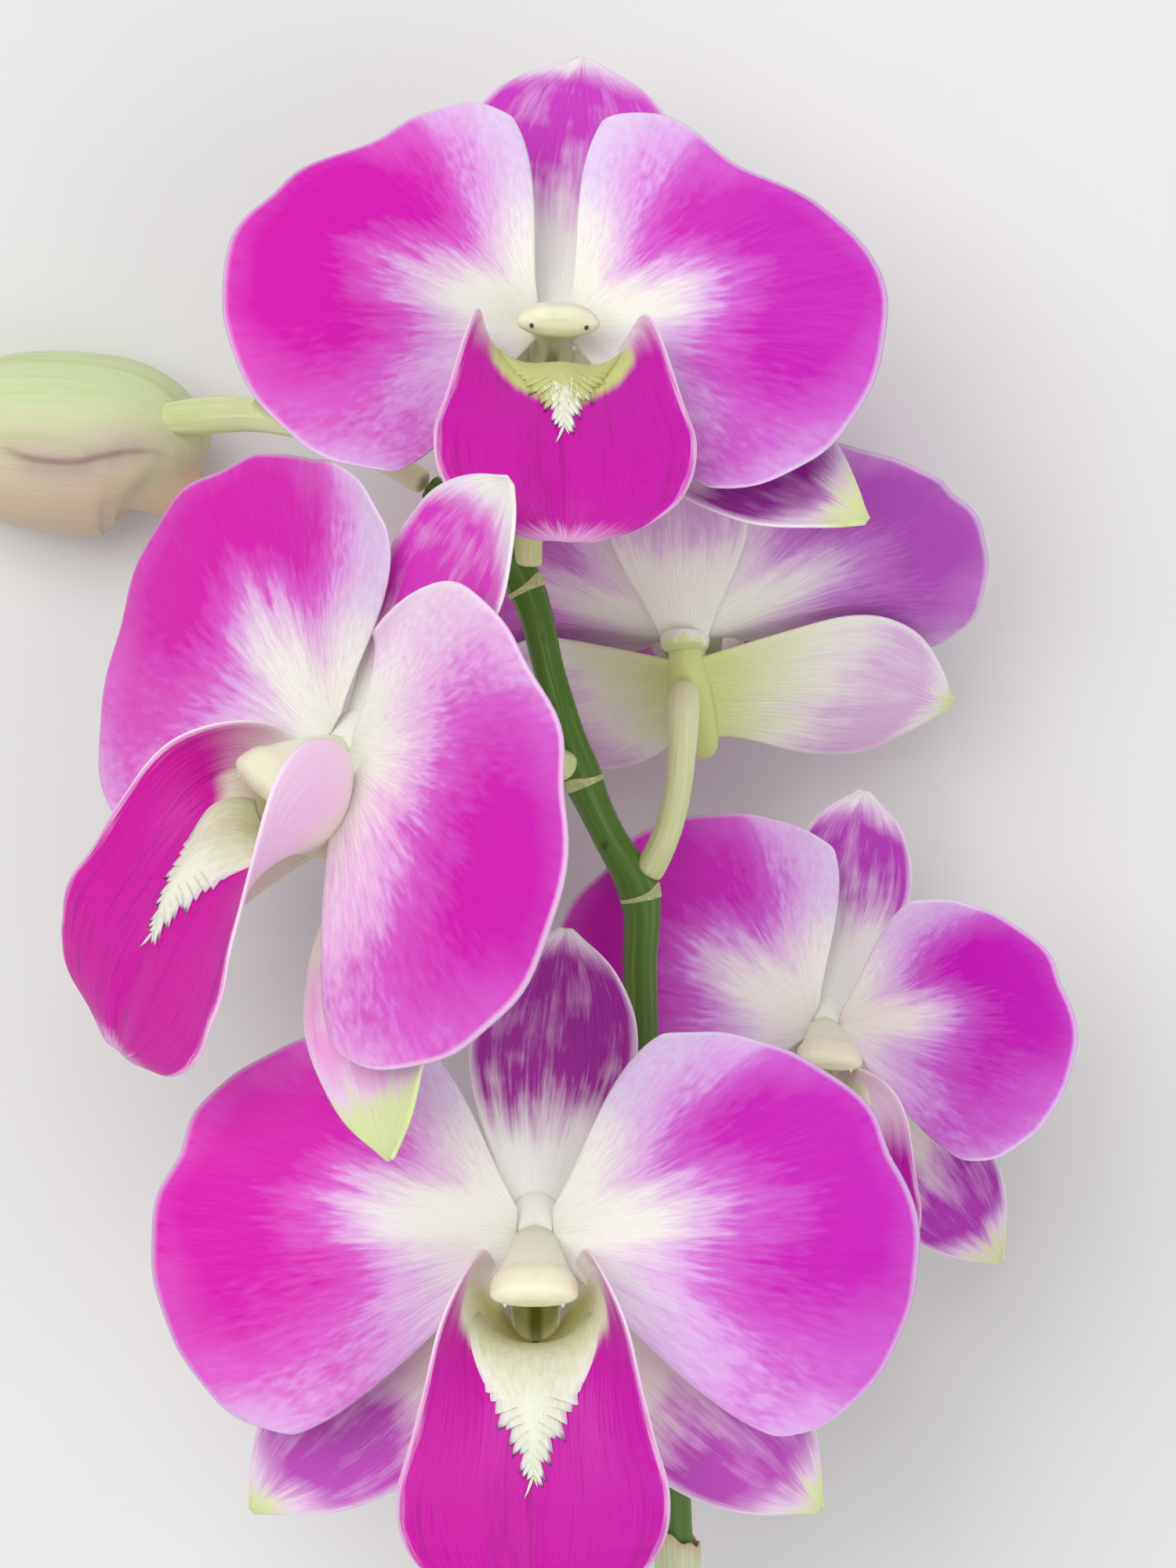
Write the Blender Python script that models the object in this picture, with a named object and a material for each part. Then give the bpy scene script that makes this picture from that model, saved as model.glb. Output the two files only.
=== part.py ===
"""A cut dendrobium orchid stem: five open blooms and one bud on a green stem, lying on a surface.

Metres, +Z up. The stem lies along Y with its cut end towards -Y. Each bloom has its own empty, whose
+Z is the way the bloom faces and +Y the way its top sepal points. Sizes below are millimetres.
"""

import math

import bmesh
import bpy
import numpy as np
from mathutils import Matrix, Vector

MM = 0.001
GAP = 0.35

# The whole spray, moved so that the middle of its footprint is the origin
SPRAY_SHIFT = (13.9, 78.8, 0.0)

# Petals: a fan of veins from a narrow claw beside the bloom's hub. The margin is (degrees above
# sideways, reach from the claw). Towards the edges of the fan the veins bow outwards by PETAL_EDGE_BOW
BLADE_THICKNESS = 0.7
HUB_RADIUS = 2.4
PETAL_MARGIN = (
    (-43, 30.2), (-36, 33.2), (-28, 34.9), (-19, 36.1), (-10, 36.6), (-1, 36.6), (8, 35.9),
    (15, 34.2), (20, 34.7), (28, 32.9), (40, 29.8), (52, 26.6), (64, 23.2),
)
PETAL_SHOULDER = (32.0, 18.0)
PETAL_CLAW_WIDTH = 3.4
PETAL_CLAW_AT = (0.4, 0.9)
PETAL_REACH = 36.6
PETAL_EDGE_BOW = (9.0, 12.0)
PETAL_VEIN_BOW = (0.5, 0.3)
PETAL_CORNER_FROM = (15.0, 45.0)
PETAL_WAVES = (5.5, 0.6)
PETAL_GRID = (7, 11)

# Sepals: half width against the share of the length, from the root to the pointed tip
DORSAL_LENGTH = 30.0
DORSAL_START = (0.0, 1.5, -0.9)
DORSAL_HALF_WIDTH = ((0, 2.2), (0.15, 4.2), (0.35, 7.0), (0.58, 8.7), (0.78, 7.3), (0.92, 4.0), (1, 0.45))
LATERAL_LENGTH = 36.5
LATERAL_HALF_WIDTH = ((0, 4.6), (0.2, 6.4), (0.42, 8.4), (0.62, 8.7), (0.8, 6.4), (0.92, 3.2), (1, 0.45))
LATERAL_HEADING = -43.0
LATERAL_START = (3.0, -4.6, -3.4)
LATERAL_ROOT = ((2.9, -11.4, -7.6), (3.1, -1.2, -2.8))
LATERAL_ROOT_SHARE = 0.42
SEPAL_GRID = (8, 6)

# Labellum, the bloom's lowest petal: centre line (height, forward), half width and how far it curls up
LABELLUM_LINE = (
    (0, -11.6, -3.4), (0.12, -11.3, 1.0), (0.24, -11.4, 5.2), (0.36, -13.6, 8.6), (0.5, -18.2, 11.0),
    (0.68, -25.0, 12.4), (0.86, -31.8, 12.2), (1, -35.8, 10.8),
)
LABELLUM_HALF_WIDTH = (
    (0, 4.6), (0.06, 6.6), (0.12, 8.4), (0.2, 14.4), (0.3, 14.2), (0.4, 12.4), (0.5, 12.2), (0.66, 13.6),
    (0.78, 13.0), (0.88, 10.6), (0.95, 7.2), (1, 2.4),
)
LABELLUM_CURL = (
    (0, 100), (0.06, 112), (0.12, 122), (0.2, 130), (0.3, 102), (0.4, 58), (0.5, 28), (0.68, 8),
    (0.84, -4), (1, -14),
)
LABELLUM_GRID = (13, 8)
# The side lobes are the blade's part before this share, fading over the second number
LABELLUM_LOBES = (0.42, 0.2)
# Raised ridge on the lip's middle: (share of the length, its spread, height, half width)
CALLUS = (0.42, 0.16, 1.3, 3.2)

# Column with its spur: (height, forward, half width, half depth) from the spur's end to the anther cap
COLUMN_LINE = (
    (-13.6, -8.7, 1.0, 0.8), (-12.2, -7.9, 2.0, 1.7), (-8.6, -6.3, 2.5, 2.2), (-4.6, -4.4, 2.6, 2.5),
    (-1.2, -2.4, 2.4, 2.5), (-0.9, 0.8, 2.1, 2.0), (-1.8, 3.8, 2.5, 1.7), (-3.3, 6.2, 3.6, 1.8),
    (-4.8, 7.8, 4.1, 1.6), (-5.8, 8.8, 2.9, 0.9),
)
COLUMN_SIDES = 10

PEDICEL_RADII = (1.3, 1.65, 1.6, 1.45, 1.4, 1.4, 1.45, 1.6)
PEDICEL_SEAT = (0.0, -0.95, -6.2)
PEDICEL_LEAVES = (0.0, 0.54, -0.84)
PEDICEL_LEAN = 0.7

# Green stem: (along, sideways, height, radius) of its centre from the cut end to the last bud's stalk
STEM_ROUTE = (
    (-237.2, 10.0, 2.24, 2.35), (-222, 10.4, 3.0, 2.3), (-200, 11.2, 5.6, 2.25), (-170, 11.8, 11.5, 2.15),
    (-140, 11.6, 19.5, 2.05), (-112, 10.8, 26.5, 1.95), (-86, 9.8, 31.5, 1.85), (-62, 8.4, 35.0, 1.85),
    (-38, 6.2, 37.0, 1.85), (-20, 5.6, 37.5, 1.85), (-11, 5.3, 38.0, 2.0), (-5.5, 2.2, 38.4, 1.8),
    (1.3, -0.9, 39.0, 1.95), (11.5, -4.0, 39.4, 1.65), (21.5, -6.9, 39.4, 1.8), (27.5, -10.8, 38.6, 1.5),
    (32.0, -17.0, 37.0, 1.45),
)
STEM_STATIONS = 40

# Dry bract wrapped round the stem: where it starts and ends along the stem, how far its mouth slants, how
# many degrees it leaves open, and the thickness of its wall
SHEATH_SPAN = (-112.0, -81.5)
SHEATH_SLANT = 1.4
SHEATH_OPENING = 40.0
SHEATH_WALL = 0.6
SHEATH_GRID = (6, 12)

# Last bud: (sideways, along, height, radius) of its centre from the spur to the closed tip
BUD_LINE = (
    (-42.3, 32.6, 8.3, 0.7), (-44.6, 33.0, 8.5, 1.9), (-47.0, 34.2, 8.8, 4.0), (-49.4, 36.8, 9.0, 8.1),
    (-53.0, 38.6, 9.1, 9.9), (-58.0, 39.2, 9.1, 10.4), (-63.5, 39.6, 9.1, 10.2), (-69.0, 39.8, 8.9, 9.0),
    (-74.0, 39.8, 8.8, 6.6), (-79.6, 39.6, 8.5, 1.4),
)
BUD_SIDES = 18
BUD_SEAM = 0.06
BUD_PEDICEL = ((-17.65, 32.45, 36.8), (-27.0, 38.0, 30.5), (-38.0, 41.4, 20.4), (-47.0, 42.1, 17.0))
BUD_PEDICEL_RADII = (1.35, 1.4, 1.5, 1.6, 1.7, 1.85, 2.0, 2.1)

# Each bloom: centre of its face, the way it faces, the way its top sepal points, its size, how far along
# the stem its stalk's foot is, how wide its lip's side lobes are and how far they wrap (shares), how far
# its stalk runs straight back (dip) and what it bows towards, and what differs from BLADES
BLOOMS = {
    "front_bloom": dict(
        centre=(-5.5, -46.9, 52.0), facing=(0.0, 0.0, 1.0), top=(0.0, 1.0, 0.0), size=1.02, foot=-66.0,
        dorsal_sepal=dict(turn=-6.0, curl=0.0), left_petal=dict(lift=12.0, corner=0.0),
    ),
    "top_bloom": dict(
        centre=(-3.8, 48.0, 42.0), facing=(0.08, 0.54, 0.84), top=(-0.02, 0.84, -0.54), size=0.98, foot=22.0,
        lobes=0.7, wrap=0.9, dip=3.0, bow=(-6.3, 31.0, 41.0),
        dorsal_sepal=dict(turn=-6.0, longer=1.1, broad=1.45, lift=14.0),
        left_petal=dict(turn=-1.0, spread=1.32, longer=0.96, slim=0.14, lift=28.0, pitch=12.0, corner=1.0),
        right_petal=dict(turn=-3.0, spread=1.36, longer=0.95, slim=0.18, lift=30.0, pitch=14.0, corner=1.0),
        left_sepal=dict(turn=28.0, longer=0.84, lift=12.0), right_sepal=dict(turn=9.0, lift=10.0),
    ),
    "left_bloom": dict(
        centre=(-24.8, 3.6, 60.0), facing=(-0.68, 0.14, 0.72), top=(0.46, 0.86, 0.2), size=1.04, foot=1.3,
        dip=8.0, dorsal_sepal=dict(turn=-17.0, longer=1.12, lift=6.0, curl=8.0),
        left_petal=dict(turn=10.0, spread=1.3, longer=0.97, slim=0.1, lift=12.0),
        right_petal=dict(turn=3.0, spread=1.3, longer=0.97, slim=0.1, lift=14.0),
        left_sepal=dict(turn=-6.0), right_sepal=dict(turn=1.0, lift=9.0),
    ),
    "back_bloom": dict(
        centre=(10.7, 15.4, 32.0), facing=(0.05, 0.88, -0.47), top=(-0.22, 0.46, 0.86), size=0.88, foot=-11.0,
        lobes=0.94, dorsal_sepal=dict(turn=6.0, longer=0.85, lift=34.0),
        left_petal=dict(lift=30.0, pitch=10.0, corner=6.0, wave=1.6),
        right_petal=dict(lift=30.0, pitch=10.0, corner=6.0, wave=1.6),
        left_sepal=dict(turn=12.0, longer=0.92, broad=1.3, lift=14.0, pitch=24.0),
        right_sepal=dict(turn=12.0, longer=0.92, broad=1.3, lift=14.0, pitch=24.0),
    ),
    "right_bloom": dict(
        centre=(26.4, -27.0, 21.6), facing=(0.1, 0.1, 0.99), top=(0.11, 0.98, -0.1), size=0.82, foot=-56.0,
        lobes=0.58, dip=9.0, bow=(12.0, -56.0, 12.0),
        dorsal_sepal=dict(turn=-3.0, longer=1.04, lift=6.0),
        left_petal=dict(turn=12.0, spread=1.22, longer=1.04, lift=22.0, curl=-14.0, corner=1.0),
        right_petal=dict(turn=0.0, spread=1.18, longer=0.97, lift=45.0, curl=-10.0, corner=1.0),
        left_sepal=dict(lift=6.0), right_sepal=dict(turn=-2.0, longer=0.96, lift=8.0),
    ),
}

# How each blade sits: turn (degrees anticlockwise, or upwards for a side blade), spread and longer (shares
# of its width in degrees and of its length), broad (share of a sepal's width), slim (share that a petal's
# shoulder falls short), lift (degrees that it leaves the hub forwards), curl (degrees more by its end),
# pitch (degrees about its own length), corner (millimetres that a petal's upper edge comes forwards), wave
# (millimetres of a petal's waved edge), cup (millimetres of hollow across a sepal)
BLADES = {
    "dorsal_sepal": dict(turn=0.0, longer=1.0, broad=1.0, lift=2.0, curl=4.0, cup=1.6),
    "left_petal": dict(
        turn=0.0, spread=1.0, longer=1.0, slim=0.0, lift=16.0, curl=-22.0, pitch=0.0, corner=3.0, wave=0.8
    ),
    "right_petal": dict(
        turn=0.0, spread=1.0, longer=1.0, slim=0.0, lift=16.0, curl=-22.0, pitch=0.0, corner=3.0, wave=0.8
    ),
    "left_sepal": dict(turn=0.0, longer=1.0, broad=1.0, lift=-2.0, curl=-6.0, pitch=0.0, cup=1.4),
    "right_sepal": dict(turn=0.0, longer=1.0, broad=1.0, lift=-2.0, curl=-6.0, pitch=0.0, cup=1.4),
}

PETAL_COLOUR = (0.62, 0.03, 0.50)
LABELLUM_COLOUR = (0.50, 0.005, 0.30)
CREAM_COLOUR = (0.72, 0.74, 0.52)
STEM_COLOUR = (0.10, 0.22, 0.02)
SHEATH_COLOUR = (0.66, 0.62, 0.42)
BUD_COLOUR = (0.60, 0.68, 0.40)


def through(knots, where):
    """A smooth curve through (position, value...) knots, read at each position asked for."""
    table = np.array(knots, float)
    at, values = table[:, 0], table[:, 1:]
    slopes = np.gradient(values, at, axis=0)
    where = np.atleast_1d(np.asarray(where, float))
    index = np.clip(np.searchsorted(at, where, side="right") - 1, 0, len(at) - 2)
    span = at[index + 1] - at[index]
    share = ((where - at[index]) / span)[:, None]
    span = span[:, None]
    found = (
        values[index] * (1 + 2 * share) * (1 - share) ** 2
        + slopes[index] * span * share * (1 - share) ** 2
        + values[index + 1] * share**2 * (3 - 2 * share)
        + slopes[index + 1] * span * share**2 * (share - 1)
    )
    return found[:, 0] if found.shape[1] == 1 else found


def smooth_step(value):
    value = np.clip(value, 0.0, 1.0)
    return value * value * (3 - 2 * value)


def bend(distance, length, lift, curl):
    """A flat distance along a blade that leaves at lift and turns by curl by its end: (distance, height)."""
    start, turn = math.radians(lift), math.radians(curl)
    share = distance / length
    if abs(turn) < 1e-4:
        return distance * math.cos(start), distance * math.sin(start)
    angle = start + turn * share
    return (
        length / turn * (np.sin(angle) - math.sin(start)),
        length / turn * (math.cos(start) - np.cos(angle)),
    )


def material(name, colour, roughness):
    found = bpy.data.materials.get(name)
    if found is None:
        found = bpy.data.materials.new(name)
        found.use_nodes = True
        shader = found.node_tree.nodes["Principled BSDF"]
        shader.inputs["Base Color"].default_value = (*colour, 1.0)
        shader.inputs["Roughness"].default_value = roughness
        shader.inputs["Metallic"].default_value = 0.0
    return found


def add_object(name, data, parent, finish):
    thing = bpy.data.objects.new(name, data)
    bpy.context.scene.collection.objects.link(thing)
    thing.parent = parent
    data.materials.append(finish)
    return thing


def add_sheet(name, grid, parent, finish, thickness):
    """A blade: a grid of points split into triangles and given its thickness by Solidify."""
    rows, columns = grid.shape[0], grid.shape[1]
    mesh = bmesh.new()
    points = [[mesh.verts.new(Vector(p) * MM) for p in row] for row in grid]
    for i in range(rows - 1):
        for j in range(columns - 1):
            a, b = points[i][j], points[i][j + 1]
            c, d = points[i + 1][j + 1], points[i + 1][j]
            mesh.faces.new((a, b, c))
            mesh.faces.new((a, c, d))
    mesh.normal_update()
    data = bpy.data.meshes.new(name)
    mesh.to_mesh(data)
    mesh.free()
    data.shade_smooth()
    blade = add_object(name, data, parent, finish)
    solid = blade.modifiers.new("thickness", "SOLIDIFY")
    solid.thickness = thickness * MM
    solid.offset = 0.0
    return blade


def add_loft(name, rings, parent, finish):
    """A closed body skinned over rings of points, with flat ends."""
    mesh = bmesh.new()
    loops = [[mesh.verts.new(Vector(p) * MM) for p in ring] for ring in rings]
    sides = len(rings[0])
    for lower, upper in zip(loops, loops[1:]):
        for k in range(sides):
            after = (k + 1) % sides
            mesh.faces.new((lower[k], lower[after], upper[after], upper[k]))
    mesh.faces.new(list(reversed(loops[0])))
    mesh.faces.new(loops[-1])
    bmesh.ops.recalc_face_normals(mesh, faces=mesh.faces)
    data = bpy.data.meshes.new(name)
    mesh.to_mesh(data)
    mesh.free()
    data.shade_smooth()
    data.set_sharp_from_angle(angle=math.radians(50))
    return add_object(name, data, parent, finish)


def add_tube(name, points, radii, sides, parent, finish):
    """A round stalk along points, as a curve with a bevel and filled ends."""
    data = bpy.data.curves.new(name, "CURVE")
    data.dimensions = "3D"
    data.bevel_depth = MM
    data.bevel_resolution = sides // 2 - 2
    data.use_fill_caps = True
    spline = data.splines.new("POLY")
    spline.points.add(len(points) - 1)
    for knot, place, radius in zip(spline.points, points, radii):
        knot.co = (*(Vector(place) * MM), 1.0)
        knot.radius = radius
    return add_object(name, data, parent, finish)


def turned(x, y, degrees):
    angle = math.radians(degrees)
    return x * math.cos(angle) - y * math.sin(angle), x * math.sin(angle) + y * math.cos(angle)


def petal_grid(side, size, turn, spread, longer, slim, lift, curl, pitch, corner, wave):
    """The broad petal on one side (1 or -1) of a bloom, in the bloom's own frame."""
    rows, columns = PETAL_GRID
    across = np.linspace(-1, 1, columns + 1)
    along = np.linspace(0, 1, rows + 1)[:, None]
    low, high = PETAL_MARGIN[0][0], PETAL_MARGIN[-1][0]
    angle = low + (high - low) * (across + 1) / 2
    shoulder = np.exp(-(((angle - PETAL_SHOULDER[0]) / PETAL_SHOULDER[1]) ** 2))
    reach = through(PETAL_MARGIN, angle) * longer * (1 - slim * shoulder)
    angle = angle * spread
    edge = across**4
    bow = np.where(across > 0, PETAL_EDGE_BOW[1], -PETAL_EDGE_BOW[0]) * edge
    mid_angle = np.radians(angle + bow)
    mid_reach = reach * (PETAL_VEIN_BOW[0] + PETAL_VEIN_BOW[1] * edge)
    angle = np.radians(angle)
    start = np.stack([np.zeros_like(across), PETAL_CLAW_WIDTH / 2 * across])
    middle = np.stack([mid_reach * np.cos(mid_angle), mid_reach * np.sin(mid_angle)])
    end = np.stack([reach * np.cos(angle), reach * np.sin(angle)])
    x, y = (
        start[k] * (1 - along) ** 2 + middle[k] * 2 * along * (1 - along) + end[k] * along**2
        for k in (0, 1)
    )
    distance = np.hypot(x, y)
    flat, height = bend(distance, PETAL_REACH, lift, curl)
    heading = np.arctan2(y, x)
    corner_from, corner_over = PETAL_CORNER_FROM
    height = height + corner * along**2 * smooth_step((np.degrees(heading) - corner_from) / corner_over)
    height = height + wave * along**3 * np.sin(PETAL_WAVES[0] * heading + PETAL_WAVES[1])
    x, y = flat * np.cos(heading), flat * np.sin(heading)
    y, height = turned(y, height, pitch)
    x, y = turned(x, y, turn)
    x = HUB_RADIUS + GAP + x
    grid = np.stack([side * x, PETAL_CLAW_AT[0] + y, PETAL_CLAW_AT[1] + height], axis=-1) * size
    return grid if side > 0 else grid[:, ::-1]


def sepal_blade(length, half_width, broad, size, lift, curl, cup):
    """A pointed blade along +X: (along, across, height) arrays, with its rows from root to tip."""
    rows, columns = SEPAL_GRID
    share = np.sin(np.linspace(0, math.pi / 2, rows + 1)) ** 1.15
    across = np.linspace(-1, 1, columns + 1)
    width = through(half_width, share)[:, None] * across * broad
    flat, height = bend(share * length, length, lift, curl)
    height = height[:, None] + cup * across**2 * np.sin(math.pi * share)[:, None]
    along = np.broadcast_to(flat[:, None], width.shape)
    return along * size, width * size, height * size


def dorsal_grid(size, turn, longer, broad, lift, curl, cup):
    length = DORSAL_LENGTH * longer
    along, across, height = sepal_blade(length, DORSAL_HALF_WIDTH, broad, size, lift, curl, cup)
    x, y = turned(along, across, 90 + turn)
    return np.stack([x, y, height], axis=-1) + np.array(DORSAL_START) * size


def lateral_grid(side, size, turn, longer, broad, lift, curl, pitch, cup):
    """A lower sepal. Its root is long and slanting, because it runs down the side of the spur."""
    length = LATERAL_LENGTH * longer
    along, across, height = sepal_blade(length, LATERAL_HALF_WIDTH, broad, 1.0, lift, curl, cup)
    across, height = turned(across, height, pitch)
    x, y = turned(along, across, LATERAL_HEADING + turn)
    body = np.stack([x, y, height], axis=-1) + LATERAL_START
    low, high = np.array(LATERAL_ROOT)
    root = low + (high - low) * np.linspace(0, 1, body.shape[1])[:, None]
    blend = smooth_step(np.linspace(0, 1, body.shape[0]) / LATERAL_ROOT_SHARE)[:, None, None]
    grid = (root * (1 - blend) + body * blend) * [side, 1, 1] * size
    return grid if side > 0 else grid[:, ::-1]


def labellum_grid(size, lobes, wrap):
    """The lip petal: a channel that clasps the column, opening to a broad hanging lobe."""
    rows, columns = LABELLUM_GRID
    share = np.sin(np.linspace(0, math.pi / 2, rows + 1)) ** 1.1
    across = np.linspace(-1, 1, columns + 1)[None]
    line = through(LABELLUM_LINE, share)
    slope = np.gradient(line, share, axis=0)
    slope /= np.linalg.norm(slope, axis=1)[:, None]
    width = through(LABELLUM_HALF_WIDTH, share)[:, None]
    lobes_end, lobes_fade = LABELLUM_LOBES
    beside = smooth_step((lobes_end - share) / lobes_fade)[:, None]
    width = width * (1 + (lobes - 1) * beside)
    curl = np.radians(through(LABELLUM_CURL, share))[:, None] * (1 + (wrap - 1) * beside)
    curl = np.where(np.abs(curl) < 0.02, 0.02, curl)
    radius = width / curl
    x = radius * np.sin(curl * across)
    rise = radius * (1 - np.cos(curl * across))
    callus_at, callus_spread, callus_height, callus_width = CALLUS
    ridge = callus_height * np.exp(-(((share[:, None] - callus_at) / callus_spread) ** 2))
    rise = rise + ridge * np.exp(-((x / callus_width) ** 2))
    y = line[:, :1] + rise * slope[:, 1:]
    z = line[:, 1:] - rise * slope[:, :1]
    return np.stack([x, y, z], axis=-1)[:, ::-1] * size


def column_rings(size):
    line = np.array(COLUMN_LINE)
    slope = np.gradient(line[:, :2], axis=0)
    slope /= np.linalg.norm(slope, axis=1)[:, None]
    turn = np.linspace(0, 2 * math.pi, COLUMN_SIDES, endpoint=False)
    rings = []
    for (height, forward, wide, deep), (rise, onward) in zip(line, slope):
        rings.append([
            (
                wide * math.sin(a) * size,
                (height + deep * math.cos(a) * onward) * size,
                (forward - deep * math.cos(a) * rise) * size,
            )
            for a in turn
        ])
    return rings


def bloom_frame(facing, top):
    forward = Vector(facing).normalized()
    side = Vector(top).cross(forward).normalized()
    upward = forward.cross(side)
    return Matrix((side, upward, forward)).transposed()


def stem_at(along):
    """Centre, direction and radius of the stem at one place along it."""
    ahead = 0.5
    near, far = through(STEM_ROUTE, [along - ahead, along + ahead])
    here = through(STEM_ROUTE, along)[0]
    way = Vector((far[0] - near[0], 2 * ahead, far[1] - near[1])).normalized()
    return Vector((here[0], along, here[1])), way, here[2]


def pedicel_path(centre, frame, foot, size, dip, bow):
    """The bloom's own stalk, from behind its face to its foot on the stem."""
    back = Vector(centre) + frame @ Vector(PEDICEL_SEAT) * size
    away = frame @ Vector(PEDICEL_LEAVES).normalized()
    place, way, radius = stem_at(foot)
    reach = (place - back).length
    leave = (Vector(bow) if bow else back + away * reach * 0.4) - place
    outwards = leave - way * leave.dot(way)
    lean = min(leave.dot(way) / outwards.length, PEDICEL_LEAN) if bow else PEDICEL_LEAN
    leave = (outwards.normalized() + way * lean).normalized()
    slant = abs(leave.dot(way))
    start = place + leave * (radius + GAP + PEDICEL_RADII[-1] * slant) / math.sqrt(1 - slant**2)
    handles = (back, back + away * dip, Vector(bow or start + leave * reach * 0.3), start)
    points = []
    for share in np.linspace(0, 1, len(PEDICEL_RADII)):
        rest = 1 - share
        points.append(
            handles[0] * rest**3
            + handles[1] * 3 * rest**2 * share
            + handles[2] * 3 * rest * share**2
            + handles[3] * share**3
        )
    return points


def build_bloom(
    name, spray, finishes, centre, facing, top, size, foot, lobes=1.0, wrap=1.0, dip=5.0, bow=None,
    **changes
):
    frame = bloom_frame(facing, top)
    face = bpy.data.objects.new(name, None)
    bpy.context.scene.collection.objects.link(face)
    face.parent = spray
    face.matrix_local = Matrix.Translation(Vector(centre) * MM) @ frame.to_4x4()
    bends = {blade: {**BLADES[blade], **changes.get(blade, {})} for blade in BLADES}
    grids = {
        "dorsal_sepal": dorsal_grid(size, **bends["dorsal_sepal"]),
        "left_petal": petal_grid(-1, size, **bends["left_petal"]),
        "right_petal": petal_grid(1, size, **bends["right_petal"]),
        "left_sepal": lateral_grid(-1, size, **bends["left_sepal"]),
        "right_sepal": lateral_grid(1, size, **bends["right_sepal"]),
    }
    for blade, grid in grids.items():
        add_sheet(f"{name}_{blade}", grid, face, finishes["petal"], BLADE_THICKNESS)
    add_sheet(f"{name}_labellum", labellum_grid(size, lobes, wrap), face, finishes["labellum"], BLADE_THICKNESS)
    add_loft(f"{name}_column", column_rings(size), face, finishes["cream"])
    path = pedicel_path(centre, frame, foot, size, dip, bow)
    add_tube(f"{name}_pedicel", path, PEDICEL_RADII, 8, spray, finishes["cream"])


def build_stem(spray, finishes):
    places = np.linspace(STEM_ROUTE[0][0], STEM_ROUTE[-1][0], STEM_STATIONS)
    line = through(STEM_ROUTE, places)
    centres = [(side, along, height) for along, (side, height, _) in zip(places, line)]
    add_tube("stem", centres, line[:, 2], 10, spray, finishes["stem"])


def build_sheath(spray, finishes):
    """The dry bract that wraps the stem, open underneath, with a slanting mouth towards the blooms."""
    rows, columns = SHEATH_GRID
    start, end = SHEATH_SPAN
    reach = math.radians(180 - SHEATH_OPENING / 2)
    grid = []
    for share in np.linspace(0, 1, rows + 1):
        row = []
        for angle in np.linspace(-reach, reach, columns + 1):
            slant = SHEATH_SLANT * share * math.sin(angle)
            centre, way, radius = stem_at(start + (end - start) * share - slant)
            side = way.cross(Vector((0, 0, 1))).normalized()
            upward = side.cross(way)
            away = radius + GAP + SHEATH_WALL / 2
            row.append(centre + (side * math.sin(angle) + upward * math.cos(angle)) * away)
        grid.append(row)
    add_sheet("stem_sheath", np.array(grid), spray, finishes["sheath"], SHEATH_WALL)


def build_bud(spray, finishes):
    """The closed bud: three sepals folded shut along shallow seams, pressed flat where it rests."""
    turn = np.linspace(0, 2 * math.pi, BUD_SIDES, endpoint=False)
    centres = [Vector(knot[:3]) for knot in BUD_LINE]
    rings = []
    for k, (centre, knot) in enumerate(zip(centres, BUD_LINE)):
        way = (centres[min(k + 1, len(centres) - 1)] - centres[max(k - 1, 0)]).normalized()
        upward = (Vector((0, 0, 1)) - way * way.z).normalized()
        side = way.cross(upward)
        ring = []
        for a in turn:
            radius = knot[3] * (1 - BUD_SEAM * abs(math.cos(1.5 * a)) ** 8)
            point = centre + (upward * math.cos(a) + side * math.sin(a)) * radius
            ring.append((point.x, point.y, max(point.z, 0.0)))
        rings.append(ring)
    add_loft("bud", rings, spray, finishes["bud"])
    knots = [(k, *point) for k, point in enumerate(BUD_PEDICEL)]
    places = np.linspace(0, len(knots) - 1, len(BUD_PEDICEL_RADII))
    add_tube("bud_pedicel", through(knots, places), BUD_PEDICEL_RADII, 8, spray, finishes["cream"])


def build():
    for thing in list(bpy.data.objects):
        bpy.data.objects.remove(thing)
    finishes = {
        "petal": material("petal", PETAL_COLOUR, 0.5),
        "labellum": material("labellum", LABELLUM_COLOUR, 0.5),
        "cream": material("cream", CREAM_COLOUR, 0.5),
        "stem": material("stem", STEM_COLOUR, 0.45),
        "sheath": material("sheath", SHEATH_COLOUR, 0.7),
        "bud": material("bud", BUD_COLOUR, 0.5),
    }
    spray = bpy.data.objects.new("spray", None)
    bpy.context.scene.collection.objects.link(spray)
    spray.location = Vector(SPRAY_SHIFT) * MM
    for name, facts in BLOOMS.items():
        build_bloom(name, spray, finishes, **facts)
    build_stem(spray, finishes)
    build_sheath(spray, finishes)
    build_bud(spray, finishes)


build()
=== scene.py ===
import math

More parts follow.
